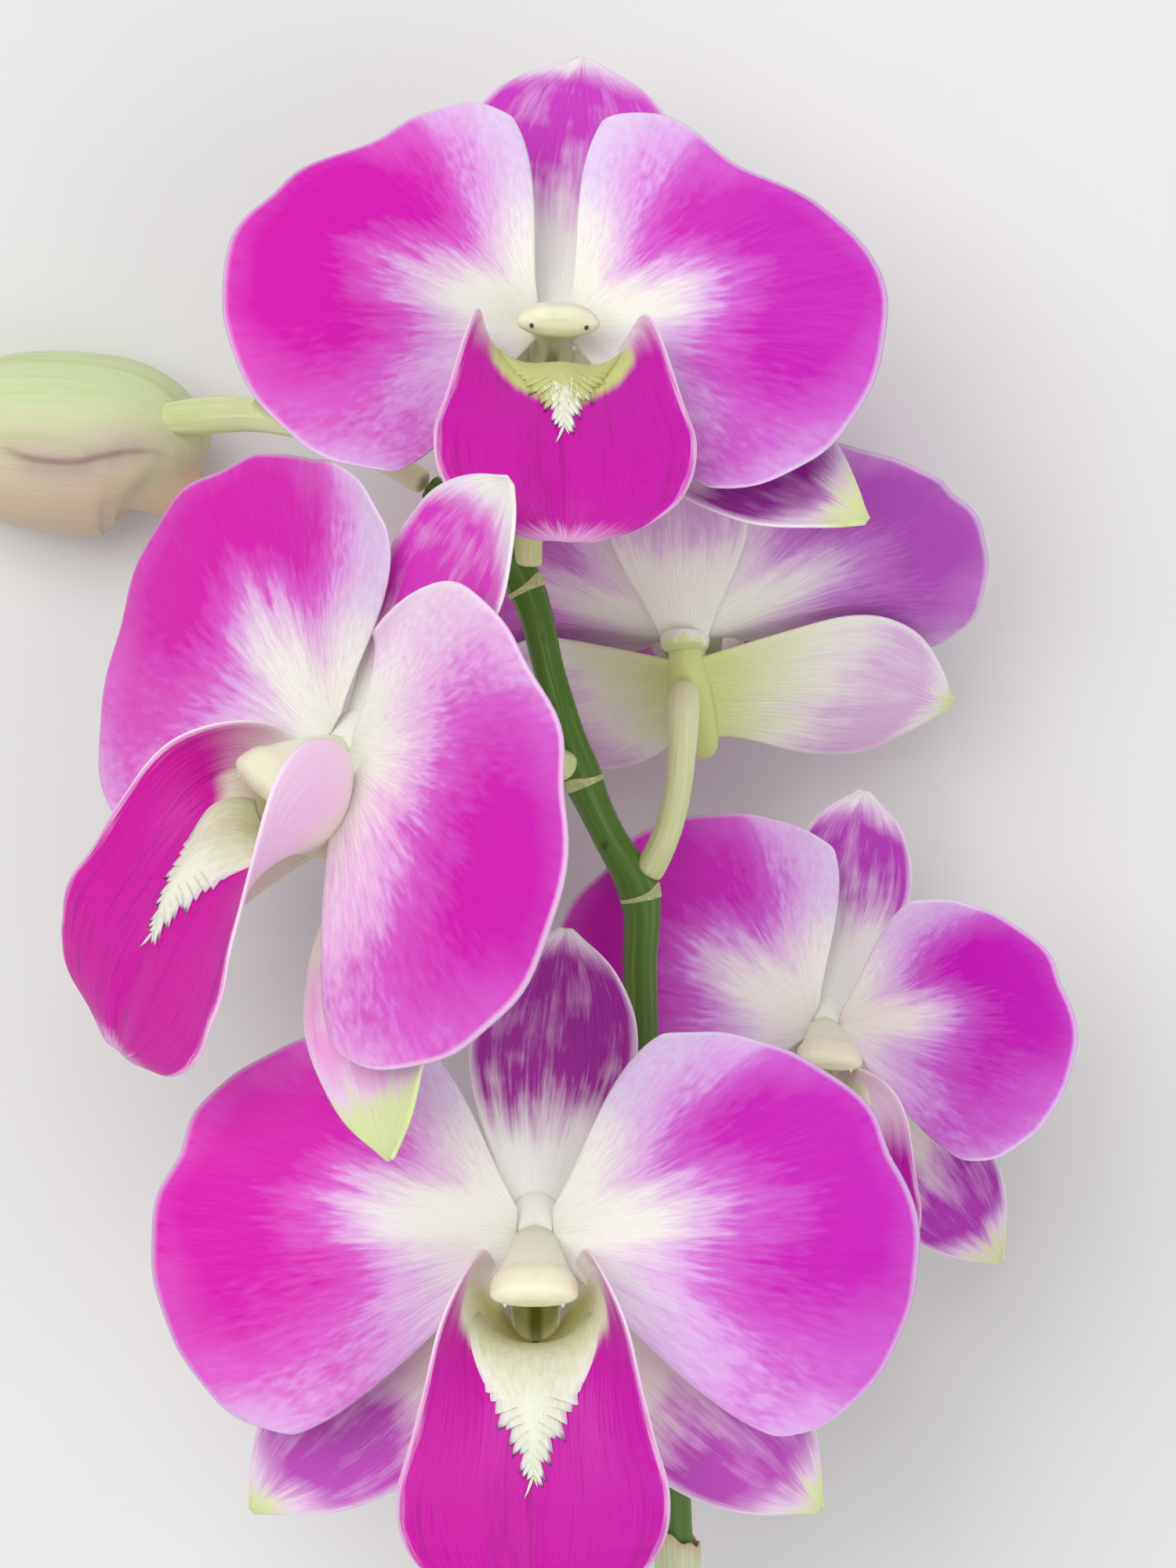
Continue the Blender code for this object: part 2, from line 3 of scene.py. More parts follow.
import bpy
import numpy as np
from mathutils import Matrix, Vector


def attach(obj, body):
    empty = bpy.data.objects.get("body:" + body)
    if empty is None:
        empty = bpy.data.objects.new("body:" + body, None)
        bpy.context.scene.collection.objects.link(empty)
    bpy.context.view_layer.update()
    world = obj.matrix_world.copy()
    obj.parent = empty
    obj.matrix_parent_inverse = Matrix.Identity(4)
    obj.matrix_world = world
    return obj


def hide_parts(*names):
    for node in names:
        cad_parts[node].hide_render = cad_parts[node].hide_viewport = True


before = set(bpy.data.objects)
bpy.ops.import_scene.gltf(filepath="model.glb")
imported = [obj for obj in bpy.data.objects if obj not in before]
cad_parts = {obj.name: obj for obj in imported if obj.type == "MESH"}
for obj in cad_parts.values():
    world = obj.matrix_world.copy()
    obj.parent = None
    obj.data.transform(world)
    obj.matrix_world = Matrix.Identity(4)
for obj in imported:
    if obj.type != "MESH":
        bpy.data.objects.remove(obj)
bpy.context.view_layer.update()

# Petals: two to a bloom, each a broad, thin, fleshy blade, white at its narrow claw and magenta further
# out. Each is a flat grid pushed into the petal's curves, then given its thickness and rounded. Its UV map
# runs across the veins and along them, for the streaks.
MM = 0.001
# From the spray's millimetres, measured from the photograph's middle, to the frame's
SPRAY_SHIFT = np.array((13.9, 78.8, 0.0))
# Each bloom: centre of its face, the way it faces, the way its top sepal points, its size
BLOOMS = {
    "front_bloom": ((-5.5, -46.9, 52.0), (0.0, 0.0, 1.0), (0.0, 1.0, 0.0), 1.02),
    "top_bloom": ((-3.8, 48.0, 42.0), (0.08, 0.54, 0.84), (-0.02, 0.84, -0.54), 0.98),
    "left_bloom": ((-24.8, 3.6, 60.0), (-0.68, 0.14, 0.72), (0.46, 0.86, 0.2), 1.04),
    "back_bloom": ((10.7, 15.4, 32.0), (0.05, 0.88, -0.47), (-0.22, 0.46, 0.86), 0.88),
    "right_bloom": ((26.4, -27.0, 21.6), (0.1, 0.1, 0.99), (0.11, 0.98, -0.1), 0.82),
}
HUB_RADIUS = 2.75
PETAL_MARGIN = (
    (-43, 30.2), (-36, 33.2), (-28, 34.9), (-19, 36.1), (-10, 36.6), (-1, 36.6), (8, 35.9),
    (15, 34.2), (20, 34.7), (28, 32.9), (40, 29.8), (52, 26.6), (64, 23.2),
)
PETAL_CLAW_WIDTH = 4.6
PETAL_REACH = 36.6
# How far a petal's claw runs in under the column, and its root's place upwards and forwards
PETAL_CLAW_IN = 1.1
PETAL_ROOT = (0.4, 0.9)
# In degrees up from its middle vein: the middle and spread of its upper shoulder, then where its upper
# corner starts and over how much it turns in, and the same for how it rises
PETAL_SHOULDER = (32.0, 18.0)
PETAL_CORNER = (34.0, 30.0)
PETAL_RISE = (15.0, 45.0)
# Its margin in and out, then broad waves and a fine frill up and down (how high, how close)
PETAL_RUFFLE = (0.12, 0.5)
PETAL_WAVES = 5.5
PETAL_FRILL = (0.28, 17.0)
# How each petal sits; slim and tuck are the shares that its upper shoulder and upper corner fall short
PETAL_SET = dict(
    turn=0.0, spread=1.0, longer=1.0, slim=0.0, tuck=0.0, lift=16.0, curl=-22.0, pitch=0.0, corner=3.0,
    wave=0.8,
)
PETAL_BENDS = {
    "front_bloom": (dict(lift=12.0, corner=0.0), dict()),
    "top_bloom": (
        dict(turn=-1.0, spread=1.32, longer=0.96, slim=0.14, lift=28.0, pitch=12.0, corner=1.0),
        dict(turn=-3.0, spread=1.36, longer=0.95, slim=0.18, lift=30.0, pitch=14.0, corner=1.0),
    ),
    "left_bloom": (
        dict(turn=10.0, spread=1.3, longer=0.97, slim=0.1, lift=12.0),
        dict(turn=3.0, spread=1.3, longer=0.97, slim=0.1, tuck=0.42, lift=14.0),
    ),
    "back_bloom": (dict(lift=30.0, pitch=10.0, corner=6.0, wave=1.6),) * 2,
    "right_bloom": (
        dict(turn=12.0, spread=1.22, longer=1.04, lift=22.0, curl=-14.0, corner=1.0),
        dict(turn=0.0, spread=1.18, longer=0.97, lift=45.0, curl=-10.0, corner=1.0),
    ),
}


def through(knots, where):
    """A smooth curve through (position, value...) knots, read at each position asked for."""
    table = np.array(knots, float)
    at, values = table[:, 0], table[:, 1:]
    slopes = np.gradient(values, at, axis=0)
    where = np.atleast_1d(np.asarray(where, float))
    index = np.clip(np.searchsorted(at, where, side="right") - 1, 0, len(at) - 2)
    span = at[index + 1] - at[index]
    share = ((where - at[index]) / span)[:, None]
    span = span[:, None]
    found = (
        values[index] * (1 + 2 * share) * (1 - share) ** 2
        + slopes[index] * span * share * (1 - share) ** 2
        + values[index + 1] * share**2 * (3 - 2 * share)
        + slopes[index + 1] * span * share**2 * (share - 1)
    )
    return found[:, 0] if found.shape[1] == 1 else found


def smooth_step(value):
    value = np.clip(value, 0.0, 1.0)
    return value * value * (3 - 2 * value)


def bend(distance, length, lift, curl):
    """A distance along a blade that leaves at lift and turns by curl by its end: (distance, height)."""
    start, turn = math.radians(lift), math.radians(curl or 0.01)
    angle = start + turn * distance / length
    return (
        length / turn * (np.sin(angle) - math.sin(start)),
        length / turn * (math.cos(start) - np.cos(angle)),
    )


def turned(x, y, degrees):
    angle = math.radians(degrees)
    return x * math.cos(angle) - y * math.sin(angle), x * math.sin(angle) + y * math.cos(angle)


def into_bloom(bloom, points):
    """Points in a bloom's own frame (side, up, forwards), put where the bloom is."""
    centre, facing, top, size = BLOOMS[bloom]
    forward = Vector(facing).normalized()
    side = Vector(top).cross(forward).normalized()
    turn = np.array((side, forward.cross(side), forward))
    return np.array(centre) + points * size @ turn


def in_frame(points, bloom=None):
    """Points on the spray, or in a bloom's own frame, as places in the frame."""
    return ((into_bloom(bloom, points) if bloom else points) + SPRAY_SHIFT) * MM


def lay_grid(name, columns, rows, shape, bloom=None, **settings):
    """A flat grid, its points put where shape says (across -1 to 1, along 0 to 1)."""
    bpy.ops.object.select_all(action="DESELECT")
    bpy.ops.mesh.primitive_grid_add(x_subdivisions=columns, y_subdivisions=rows, size=1)
    piece = bpy.context.active_object
    piece.name = piece.data.name = name
    flat = np.empty(3 * len(piece.data.vertices))
    piece.data.vertices.foreach_get("co", flat)
    flat = flat.reshape(-1, 3)
    points = np.stack(shape(2 * flat[:, 0], flat[:, 1] + 0.5, **settings), axis=-1)
    piece.data.vertices.foreach_set("co", in_frame(points, bloom).ravel())
    piece.data.update()
    return piece


def turn_over(piece):
    bpy.ops.object.mode_set(mode="EDIT")
    bpy.ops.mesh.select_all(action="SELECT")
    bpy.ops.mesh.flip_normals()
    bpy.ops.object.mode_set(mode="OBJECT")


def round_off(piece):
    smooth = piece.modifiers.new("rounding", "SUBSURF")
    smooth.levels = smooth.render_levels = 1
    bpy.ops.object.modifier_apply(modifier=smooth.name)
    bpy.ops.object.shade_smooth()


def thicken(piece, thickness):
    """Gives a sheet its thickness, with its second material on its back and rim."""
    solid = piece.modifiers.new("thickness", "SOLIDIFY")
    solid.thickness = thickness * MM
    solid.offset = 0.0
    solid.material_offset = solid.material_offset_rim = 1
    bpy.ops.object.modifier_apply(modifier=solid.name)
    bpy.ops.object.shade_smooth()


def hand_over(piece, node, slot, *finishes):
    """The piece takes its finishes, rides on the spray and stands for the CAD node."""
    for finish in finishes:
        piece.data.materials.append(finish)
    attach(piece, "root")
    if node:
        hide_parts(node)


def petal_shape(across, along, side, turn, spread, longer, slim, tuck, lift, curl, pitch, corner, wave):
    low, high = PETAL_MARGIN[0][0], PETAL_MARGIN[-1][0]
    angle = low + (high - low) * (across + 1) / 2
    shoulder = np.exp(-(((angle - PETAL_SHOULDER[0]) / PETAL_SHOULDER[1]) ** 2))
    turned_in = np.clip((angle - PETAL_CORNER[0]) / PETAL_CORNER[1], 0, 1) ** 4
    reach = through(PETAL_MARGIN, angle) * longer * (1 - slim * shoulder)
    reach += PETAL_RUFFLE[0] * np.sin(angle * PETAL_RUFFLE[1] + side)
    reach *= 1 - tuck * turned_in
    angle *= spread
    edge = across**4
    mid_angle = np.radians(angle + np.where(across > 0, 12.0, -9.0) * edge)
    mid_reach = reach * (0.5 + 0.3 * edge)
    angle = np.radians(angle)
    ahead, rest = along**2, (1 - along) ** 2
    x = mid_reach * np.cos(mid_angle) * 2 * along * (1 - along) + reach * np.cos(angle) * ahead
    y = (
        PETAL_CLAW_WIDTH / 2 * across * rest
        + mid_reach * np.sin(mid_angle) * 2 * along * (1 - along)
        + reach * np.sin(angle) * ahead
    )
    flat, height = bend(np.hypot(x, y), PETAL_REACH, lift, curl)
    heading = np.arctan2(y, x)
    height += corner * ahead * smooth_step((np.degrees(heading) - PETAL_RISE[0]) / PETAL_RISE[1])
    height += wave * along**3 * np.sin(PETAL_WAVES * heading + 0.6)
    height += PETAL_FRILL[0] * along**7 * np.sin(PETAL_FRILL[1] * heading + 2.0 * side)
    x, y = flat * np.cos(heading), flat * np.sin(heading)
    y, height = turned(y, height, pitch)
    x, y = turned(x, y, turn)
    x = HUB_RADIUS + x - PETAL_CLAW_IN * (1 - along) ** 8
    return side * x, PETAL_ROOT[0] + y, PETAL_ROOT[1] + height


def colour(red, green, blue):
    """A paint colour, 0 to 255 as a colour chart gives it, for a shader socket."""
    parts = (c / 255 for c in (red, green, blue))
    return (*(c / 12.92 if c <= 0.04045 else ((c + 0.055) / 1.055) ** 2.4 for c in parts), 1.0)


class Finish:
    """One procedural material, mixed from patterns that follow the piece's veins or its place."""

    def __init__(self, name, soft=0.12, sheen=0.04):
        self.material = bpy.data.materials.new(name)
        self.material.use_nodes = True
        self.tree = self.material.node_tree
        self.shader = self.tree.nodes["Principled BSDF"]
        for socket, value in {
            "Subsurface Weight": soft, "Subsurface Radius": (1.0, 0.5, 0.7), "Subsurface Scale": 1.5 * MM,
            "Specular IOR Level": 0.3, "Sheen Weight": sheen, "Sheen Roughness": 0.4,
        }.items():
            self.shader.inputs[socket].default_value = value
        place = self.tree.nodes.new("ShaderNodeTexCoord").outputs
        self.place = place["Object"]
        self.across, self.along = self.add("ShaderNodeSeparateXYZ", {0: place["UV"]}, slice(2))
        self.x, self.y = self.add("ShaderNodeSeparateXYZ", {0: self.place}, slice(2))

    def add(self, kind, sources, result=0, **options):
        node = self.tree.nodes.new(kind)
        for option, value in options.items():
            setattr(node, option, value)
        for socket, source in sources.items():
            if isinstance(source, bpy.types.NodeSocket):
                self.tree.links.new(source, node.inputs[socket])
            else:
                node.inputs[socket].default_value = source
        return node.outputs[result]

    def math(self, operation, first, second=0.0):
        return self.add("ShaderNodeMath", {0: first, 1: second}, operation=operation)

    def plus(self, value, *more):
        for other in more:
            value = self.math("ADD", value, other)
        return value

    def times(self, value, *more):
        for other in more:
            value = self.math("MULTIPLY", value, other)
        return value

    def ease(self, value, low, high):
        """0 at low, 1 at high, eased between; low may be the larger."""
        ends = {0: value, 1: low, 2: high}
        return self.add("ShaderNodeMapRange", ends, interpolation_type="SMOOTHSTEP")

    def level(self, value, low, high):
        """0 at low, 1 at high, even between."""
        return self.add("ShaderNodeMapRange", {0: value, 1: low, 2: high})

    def mix(self, share, *paints):
        """Two paints, each a plain colour or another mix."""
        first, second = (colour(*paint) if isinstance(paint, tuple) else paint for paint in paints)
        return self.add("ShaderNodeMix", {0: share, 6: first, 7: second}, result=2, data_type="RGBA")

    def over(self, tint, paint, value, low, high, most=1.0):
        """The paint eased in over the tint as the value goes from low to high."""
        share = self.ease(value, low, high)
        return self.mix(share if most == 1.0 else self.times(share, most), tint, paint)

    def from_middle(self):
        """How far from the middle vein: 0 to 0.5."""
        return self.math("ABSOLUTE", self.plus(self.across, -0.5))

    def grain(self, across, along, detail=3.0):
        """Noise stretched along the veins, different on each piece: -0.5 to 0.5."""
        spread = self.add("ShaderNodeCombineXYZ", {
            0: self.times(self.across, across),
            1: self.times(self.along, along),
            2: self.times(self.x, 9.0),
        })
        noise = self.add("ShaderNodeTexNoise", {"Vector": spread, "Scale": 1.0, "Detail": detail})
        return self.plus(noise, -0.5)

    def cells(self, scale, detail=2.0):
        """Noise in the piece's own space: -0.5 to 0.5."""
        noise = self.add("ShaderNodeTexNoise", {"Vector": self.place, "Scale": scale, "Detail": detail})
        return self.plus(noise, -0.5)

    def close(self, tint, relief, depth, smoothest, roughest):
        """Feeds the shader its colour, its relief (millimetres deep) and its roughness."""
        shine = {0: relief, 1: -0.3, 2: 0.3, 3: smoothest, 4: roughest}
        rough = self.add("ShaderNodeMapRange", shine)
        bump = self.add("ShaderNodeBump", {"Height": relief, "Strength": 0.6, "Distance": depth * MM})
        for socket, source in {"Base Color": tint, "Roughness": rough, "Normal": bump}.items():
            self.tree.links.new(source, self.shader.inputs[socket])
        return self.material


def petal_finish(name, tongue_to, pale_from, cream, lilac, mid_pink, mid_violet, deep_pink, deep_violet):
    """White at the claw and along a tongue, streaking into magenta, lilac along the upper margin."""
    skin = Finish(name)
    streaks = skin.grain(15.0, 1.3)
    fine = skin.grain(52.0, 5.0)
    dashes = skin.grain(85.0, 16.0, detail=2.0)
    clouds = skin.cells(75.0)
    tongue = skin.ease(skin.from_middle(), 0.24, 0.0)
    ragged = skin.plus(streaks, skin.times(fine, 0.6), skin.times(clouds, 0.5))
    reach = skin.plus(skin.along, skin.times(tongue, -tongue_to), skin.times(ragged, 0.22))
    depth = skin.ease(reach, 0.06, 0.72)
    up = skin.plus(skin.across, skin.times(skin.plus(streaks, clouds), 0.14))
    depth = skin.times(depth, skin.plus(0.06, skin.times(skin.ease(up, 1.0, pale_from), 0.94)))
    depth = skin.times(depth, skin.plus(0.36, skin.times(skin.ease(up, -0.04, 0.46), 0.64)))
    rim = skin.plus(skin.along, skin.times(dashes, 0.2))
    depth = skin.times(depth, skin.plus(1.0, skin.times(skin.ease(rim, 0.78, 1.02), -0.25)))
    depth = skin.plus(depth, skin.times(skin.plus(dashes, skin.times(clouds, 0.7)), 0.36))
    violet = skin.ease(skin.x, -0.04, 0.06)
    outwards = skin.plus(reach, skin.times(skin.across, -0.3))
    pale = skin.over(cream, lilac, outwards, -0.1, 0.36)
    mid = skin.mix(violet, mid_pink, mid_violet)
    deep = skin.mix(violet, deep_pink, deep_violet)
    tint = skin.mix(skin.level(depth, 0.03, 0.52), pale, mid)
    tint = skin.mix(skin.level(depth, 0.34, 0.86), tint, deep)
    tint = skin.over(tint, lilac, skin.along, 0.975, 1.0, 0.6)
    return skin.close(tint, skin.plus(skin.times(fine, 0.7), skin.times(dashes, 0.3)), 0.35, 0.42, 0.58)


PETAL_BACK = petal_finish(
    "petal_back", 0.17, 0.64, (240, 238, 226), (230, 212, 232), (222, 156, 216),
    (208, 150, 214), (204, 84, 190), (180, 74, 186),
)
PETAL_FACES = {
    name: petal_finish(
        f"petal_face_{name}", tongue_to, pale_from, (242, 240, 228), lilac, (222, 110, 208),
        (208, 112, 214), (212, 0, 172), (194, 2, 182),
    )
    for name, tongue_to, pale_from, lilac in (
        ("streaked", 0.17, 0.64, (224, 204, 234)), ("washed", 0.03, 0.36, (244, 222, 238)),
    )
}
WASHED_PETAL = "left_bloom_right"
for bloom, bends in PETAL_BENDS.items():
    for name, side, bends_of in (("left", -1, bends[0]), ("right", 1, bends[1])):
        set_to = {**PETAL_SET, **bends_of}
        petal = lay_grid(f"{bloom}_{name}_petal_blade", 30, 20, petal_shape, bloom, side=side, **set_to)
        if side > 0:
            turn_over(petal)
        face = PETAL_FACES["washed" if f"{bloom}_{name}" == WASHED_PETAL else "streaked"]
        hand_over(petal, f"{bloom}_{name}_petal", "petal", face, PETAL_BACK)
        thicken(petal, 0.45)
        round_off(petal)

# Sepals: three narrower blades behind the petals, one above and two below, whose pointed tips turn pale
# green. The lower pair's roots run down the sides of the spur. Each is a grid drawn out to its point, a
# little hollow across, with its thickness from behind.
SEPAL_HALF_WIDTHS = {
    "dorsal": ((0, 2.2), (0.15, 4.2), (0.35, 7.0), (0.58, 8.7), (0.78, 7.3), (0.92, 4.0), (1, 0.45)),
    "lateral": ((0, 4.6), (0.2, 6.4), (0.42, 8.4), (0.62, 8.7), (0.8, 6.4), (0.92, 3.2), (1, 0.3)),
}
SEPAL_LENGTHS = {"dorsal": 30.0, "lateral": 36.5}
# The upper sepal starts this far up and forwards, and runs this far in under the column
DORSAL_ROOT = (1.5, -0.9)
DORSAL_IN = 1.8
# The lower ones leave this way, from this place, out of a root along the spur between two ends, which has
# become the blade this far along
LATERAL_TURN = -43.0
LATERAL_ROOT = (3.0, -4.6, -3.4)
SPUR_SIDE = ((2.0, -11.4, -7.6), (1.9, 0.1, -2.3))
LATERAL_ROOT_TO = 0.42
DORSAL_SET = dict(turn=0.0, longer=1.0, broad=1.0, lift=2.0, curl=4.0, cup=1.6)
LATERAL_SET = dict(turn=0.0, longer=1.0, broad=1.0, lift=-2.0, curl=-6.0, pitch=0.0, cup=1.4)
# What differs for each bloom's top, left and right sepal
SEPAL_BENDS = {
    "front_bloom": (dict(turn=-6.0, curl=0.0), dict(), dict()),
    "top_bloom": (
        dict(turn=-6.0, longer=1.1, broad=1.45, lift=14.0), dict(turn=28.0, longer=0.84, lift=12.0),
        dict(turn=9.0, lift=10.0),
    ),
    "left_bloom": (
        dict(turn=-17.0, longer=1.12, lift=6.0, curl=8.0), dict(turn=-6.0), dict(turn=1.0, lift=9.0),
    ),
    "back_bloom": (dict(turn=6.0, longer=0.85, lift=34.0),)
    + (dict(turn=12.0, longer=0.92, broad=1.3, lift=14.0, pitch=24.0),) * 2,
    "right_bloom": (
        dict(turn=-3.0, longer=1.04, lift=6.0), dict(lift=6.0), dict(turn=-2.0, longer=0.96, lift=8.0),
    ),
}


def sepal_blade(kind, longer, broad, across, along, lift, curl, cup):
    """A pointed blade along +X: (share of its length, along, across, height), from its root to its tip."""
    length = SEPAL_LENGTHS[kind] * longer
    share = 1 - (1 - along) ** 1.3
    flat, height = bend(share * length, length, lift, curl)
    height += cup * across**2 * np.sin(math.pi * share)
    height += 0.3 * np.sin(along * 19 + across) * across**4 * along
    return share, flat, through(SEPAL_HALF_WIDTHS[kind], share) * across * broad, height


def dorsal_shape(across, along, turn, longer, broad, lift, curl, cup):
    share, x, y, height = sepal_blade("dorsal", longer, broad, across, along, lift, curl, cup)
    x, y = turned(x, y, 90 + turn)
    return x, DORSAL_ROOT[0] + y - DORSAL_IN * (1 - share) ** 8, height + DORSAL_ROOT[1]


def lateral_shape(across, along, side, turn, longer, broad, lift, curl, pitch, cup):
    share, x, y, height = sepal_blade("lateral", longer, broad, across, along, lift, curl, cup)
    y, height = turned(y, height, pitch)
    x, y = turned(x, y, LATERAL_TURN + turn)
    body = np.stack([x, y, height], axis=-1) + LATERAL_ROOT
    low, high = np.array(SPUR_SIDE)
    root = low + (high - low) * (across[:, None] + 1) / 2
    blend = smooth_step(share / LATERAL_ROOT_TO)[:, None]
    x, y, z = (root * (1 - blend) + body * blend).T
    return side * x, y, z


def sepal_finish(name, purple, purple_from, root, edge, tip, tip_from, foot):
    """Pale at the root, purple in uneven streaks and blotches, a pale margin and a pale point."""
    skin = Finish(name)
    streaks = skin.grain(9.0, 2.4)
    fine = skin.grain(46.0, 8.0)
    blotches = skin.cells(170.0, detail=3.0)
    ragged = skin.plus(streaks, blotches, skin.times(fine, 0.6))
    reach = skin.plus(skin.along, skin.times(ragged, 0.2))
    side = skin.from_middle()
    side = skin.plus(side, skin.times(skin.plus(streaks, fine), 0.06))
    depth = skin.times(skin.ease(reach, purple_from, purple_from + 0.3), skin.ease(side, 0.52, 0.43))
    tipwards = skin.plus(reach, skin.times(side, 0.2))
    depth = skin.times(depth, skin.ease(tipwards, tip_from + 0.12, tip_from - 0.06))
    depth = skin.times(depth, skin.plus(0.92, skin.times(ragged, 0.95)))
    pale = skin.over(root, edge, reach, 0.2, 0.55)
    tint = skin.mix(skin.level(depth, 0.0, 0.92), pale, purple)
    tint = skin.over(tint, tip, reach, tip_from, tip_from + 0.14)
    tint = skin.over(tint, foot, skin.plus(skin.along, skin.times(streaks, 0.1)), 0.36, 0.08)
    return skin.close(tint, skin.plus(skin.times(fine, 0.7), skin.times(streaks, 0.3)), 0.35, 0.42, 0.58)


# The purple of each bloom's upper and lower sepals, and how far along each it starts and turns pale
SEPAL_PURPLES = {
    "front_bloom": (((158, 20, 148), 0.15, 0.88), ((192, 74, 188), 0.26, 0.8)),
    "top_bloom": (((204, 56, 194), 0.26, 0.88), ((160, 34, 158), 0.26, 0.74)),
    "left_bloom": (((220, 60, 196), 0.08, 0.76), ((236, 158, 216), 0.26, 0.66)),
    "back_bloom": (((196, 104, 192), 0.26, 0.84), ((206, 132, 200), 0.26, 0.82)),
    "right_bloom": (((184, 52, 184), 0.26, 0.82), ((182, 52, 184), 0.26, 0.8)),
}


def sepal_finishes(bloom, level):
    """Face and back of a bloom's upper (0) or lower (1) sepals; the back is the same purple, faded."""
    purple, purple_from, tip_from = SEPAL_PURPLES[bloom][level]
    faded = tuple((part + 232) / 2 for part in purple)
    name = f"{bloom}_{('upper', 'lower')[level]}_sepal"
    face_root, back_root, tip, foot = (
        ((240, 240, 232), (238, 238, 222), (244, 240, 232), (238, 238, 222)),
        ((238, 238, 216), (240, 240, 220), (220, 232, 168), (206, 216, 138)),
    )[level]
    return tuple(
        sepal_finish(f"{name}_{side}", tint, purple_from, root, edge, tip, tip_from, under)
        for side, tint, root, edge, under in (
            ("face", purple, face_root, (236, 214, 234), face_root),
            ("back", faded, back_root, (242, 234, 236), foot),
        )
    )


for bloom, (top_bends, left_bends, right_bends) in SEPAL_BENDS.items():
    upper, lower = sepal_finishes(bloom, 0), sepal_finishes(bloom, 1)
    set_to = {**DORSAL_SET, **top_bends}
    sepal = lay_grid(f"{bloom}_top_sepal_blade", 18, 24, dorsal_shape, bloom, **set_to)
    turn_over(sepal)
    hand_over(sepal, f"{bloom}_dorsal_sepal", "petal", *upper)
    thicken(sepal, 0.5)
    round_off(sepal)
    for name, side, bends_of in (("left", -1, left_bends), ("right", 1, right_bends)):
        set_to = {**LATERAL_SET, **bends_of}
        sepal = lay_grid(f"{bloom}_{name}_sepal_blade", 18, 24, lateral_shape, bloom, side=side, **set_to)
        if side > 0:
            turn_over(sepal)
        hand_over(sepal, f"{bloom}_{name}_sepal", "petal", *lower)
        thicken(sepal, 0.5)
        round_off(sepal)

# Lips: each bloom's lowest petal, a channel that clasps the column between two upturned side lobes and
# opens to a broad hanging lobe of the deepest magenta. A grid wrapped round the lip's centre line, its
# margin finely waved, with thickness and rounding as on the petals.
LIP_LINE = (
    (0, -11.6, -3.4), (0.12, -11.3, 1.0), (0.24, -11.4, 5.2), (0.36, -13.6, 8.6), (0.5, -18.2, 11.0),
    (0.68, -25.0, 12.4), (0.86, -31.8, 12.2), (1, -35.8, 10.8),
)
LIP_HALF_WIDTH = (
    (0, 4.6), (0.06, 6.6), (0.12, 8.4), (0.2, 14.4), (0.3, 14.2), (0.4, 12.4), (0.5, 12.2), (0.66, 13.6),
    (0.78, 13.0), (0.88, 10.6), (0.95, 7.2), (1, 2.4),
)
LIP_CURL = (
    (0, 100), (0.06, 112), (0.12, 122), (0.2, 130), (0.3, 102), (0.4, 58), (0.5, 28), (0.68, 8),
    (0.84, -4), (1, -14),
)
# Where along the side lobes end and over what length, then the middle and spread of the one on the right
LIP_LOBES_TO = (0.42, 0.2)
RIGHT_LOBE = (0.28, 0.1)
# The ridge down the middle: how high, where along, and how far it spreads along and across
LIP_RIDGE = (1.3, 0.42, 0.16, 3.2)
# For each lip: how wide its side lobes are and how far they wrap (shares), and how much wider (millimetres)
# and further round (degrees) the one on its right stands
LIP_LOBES = {
    "front_bloom": (1.0, 1.0, 0.0, 0.0), "top_bloom": (0.8, 0.68, 0.0, 0.0),
    "left_bloom": (1.0, 1.0, 7.0, 18.0), "back_bloom": (0.94, 1.0, 0.0, 0.0),
    "right_bloom": (0.58, 1.0, 0.0, 0.0),
}
# How far along its face and back each lip is pale, then its inner wall: how far along, how much less
# towards its sides, where it ends across, and its colour
LIP_PALE = {
    "front_bloom": (0.34, 0.44, 0.36, 0.06, 0.8, (234, 233, 204)),
    # The top bloom's wall is yellow-green, partly the lip's own colour and partly painted shade of its
    # hollow
    "top_bloom": (0.42, 0.5, 0.59, 0.25, 0.74, (204, 208, 128)),
    "left_bloom": (0.3, 0.62, 0.33, 0.08, 0.66, (236, 226, 212)),
    "back_bloom": (0.4, 0.5, 0.36, 0.06, 0.8, (234, 233, 204)),
    "right_bloom": (0.5, 0.6, 0.36, 0.06, 0.8, (236, 232, 214)),
}


def unit(ways):
    return ways / np.linalg.norm(ways, axis=1)[:, None]


def way_along(knots, where, step=0.02, parts=3):
    """The way a curve through knots runs, from the first parts of its values."""
    return unit(through(knots, where + step)[:, :parts] - through(knots, where - step)[:, :parts])


def lobe_part(share):
    """1 along the side lobes, 0 beyond them."""
    return smooth_step((LIP_LOBES_TO[0] - share) / LIP_LOBES_TO[1])


def right_lobe_part(share, across):
    return np.exp(-(((share - RIGHT_LOBE[0]) / RIGHT_LOBE[1]) ** 2)) * (across > 0)


def lip_width(share, lobes, across):
    size, _, wider, _ = lobes
    width = through(LIP_HALF_WIDTH, share) * (1 + (size - 1) * lobe_part(share))
    return width + wider * right_lobe_part(share, across)


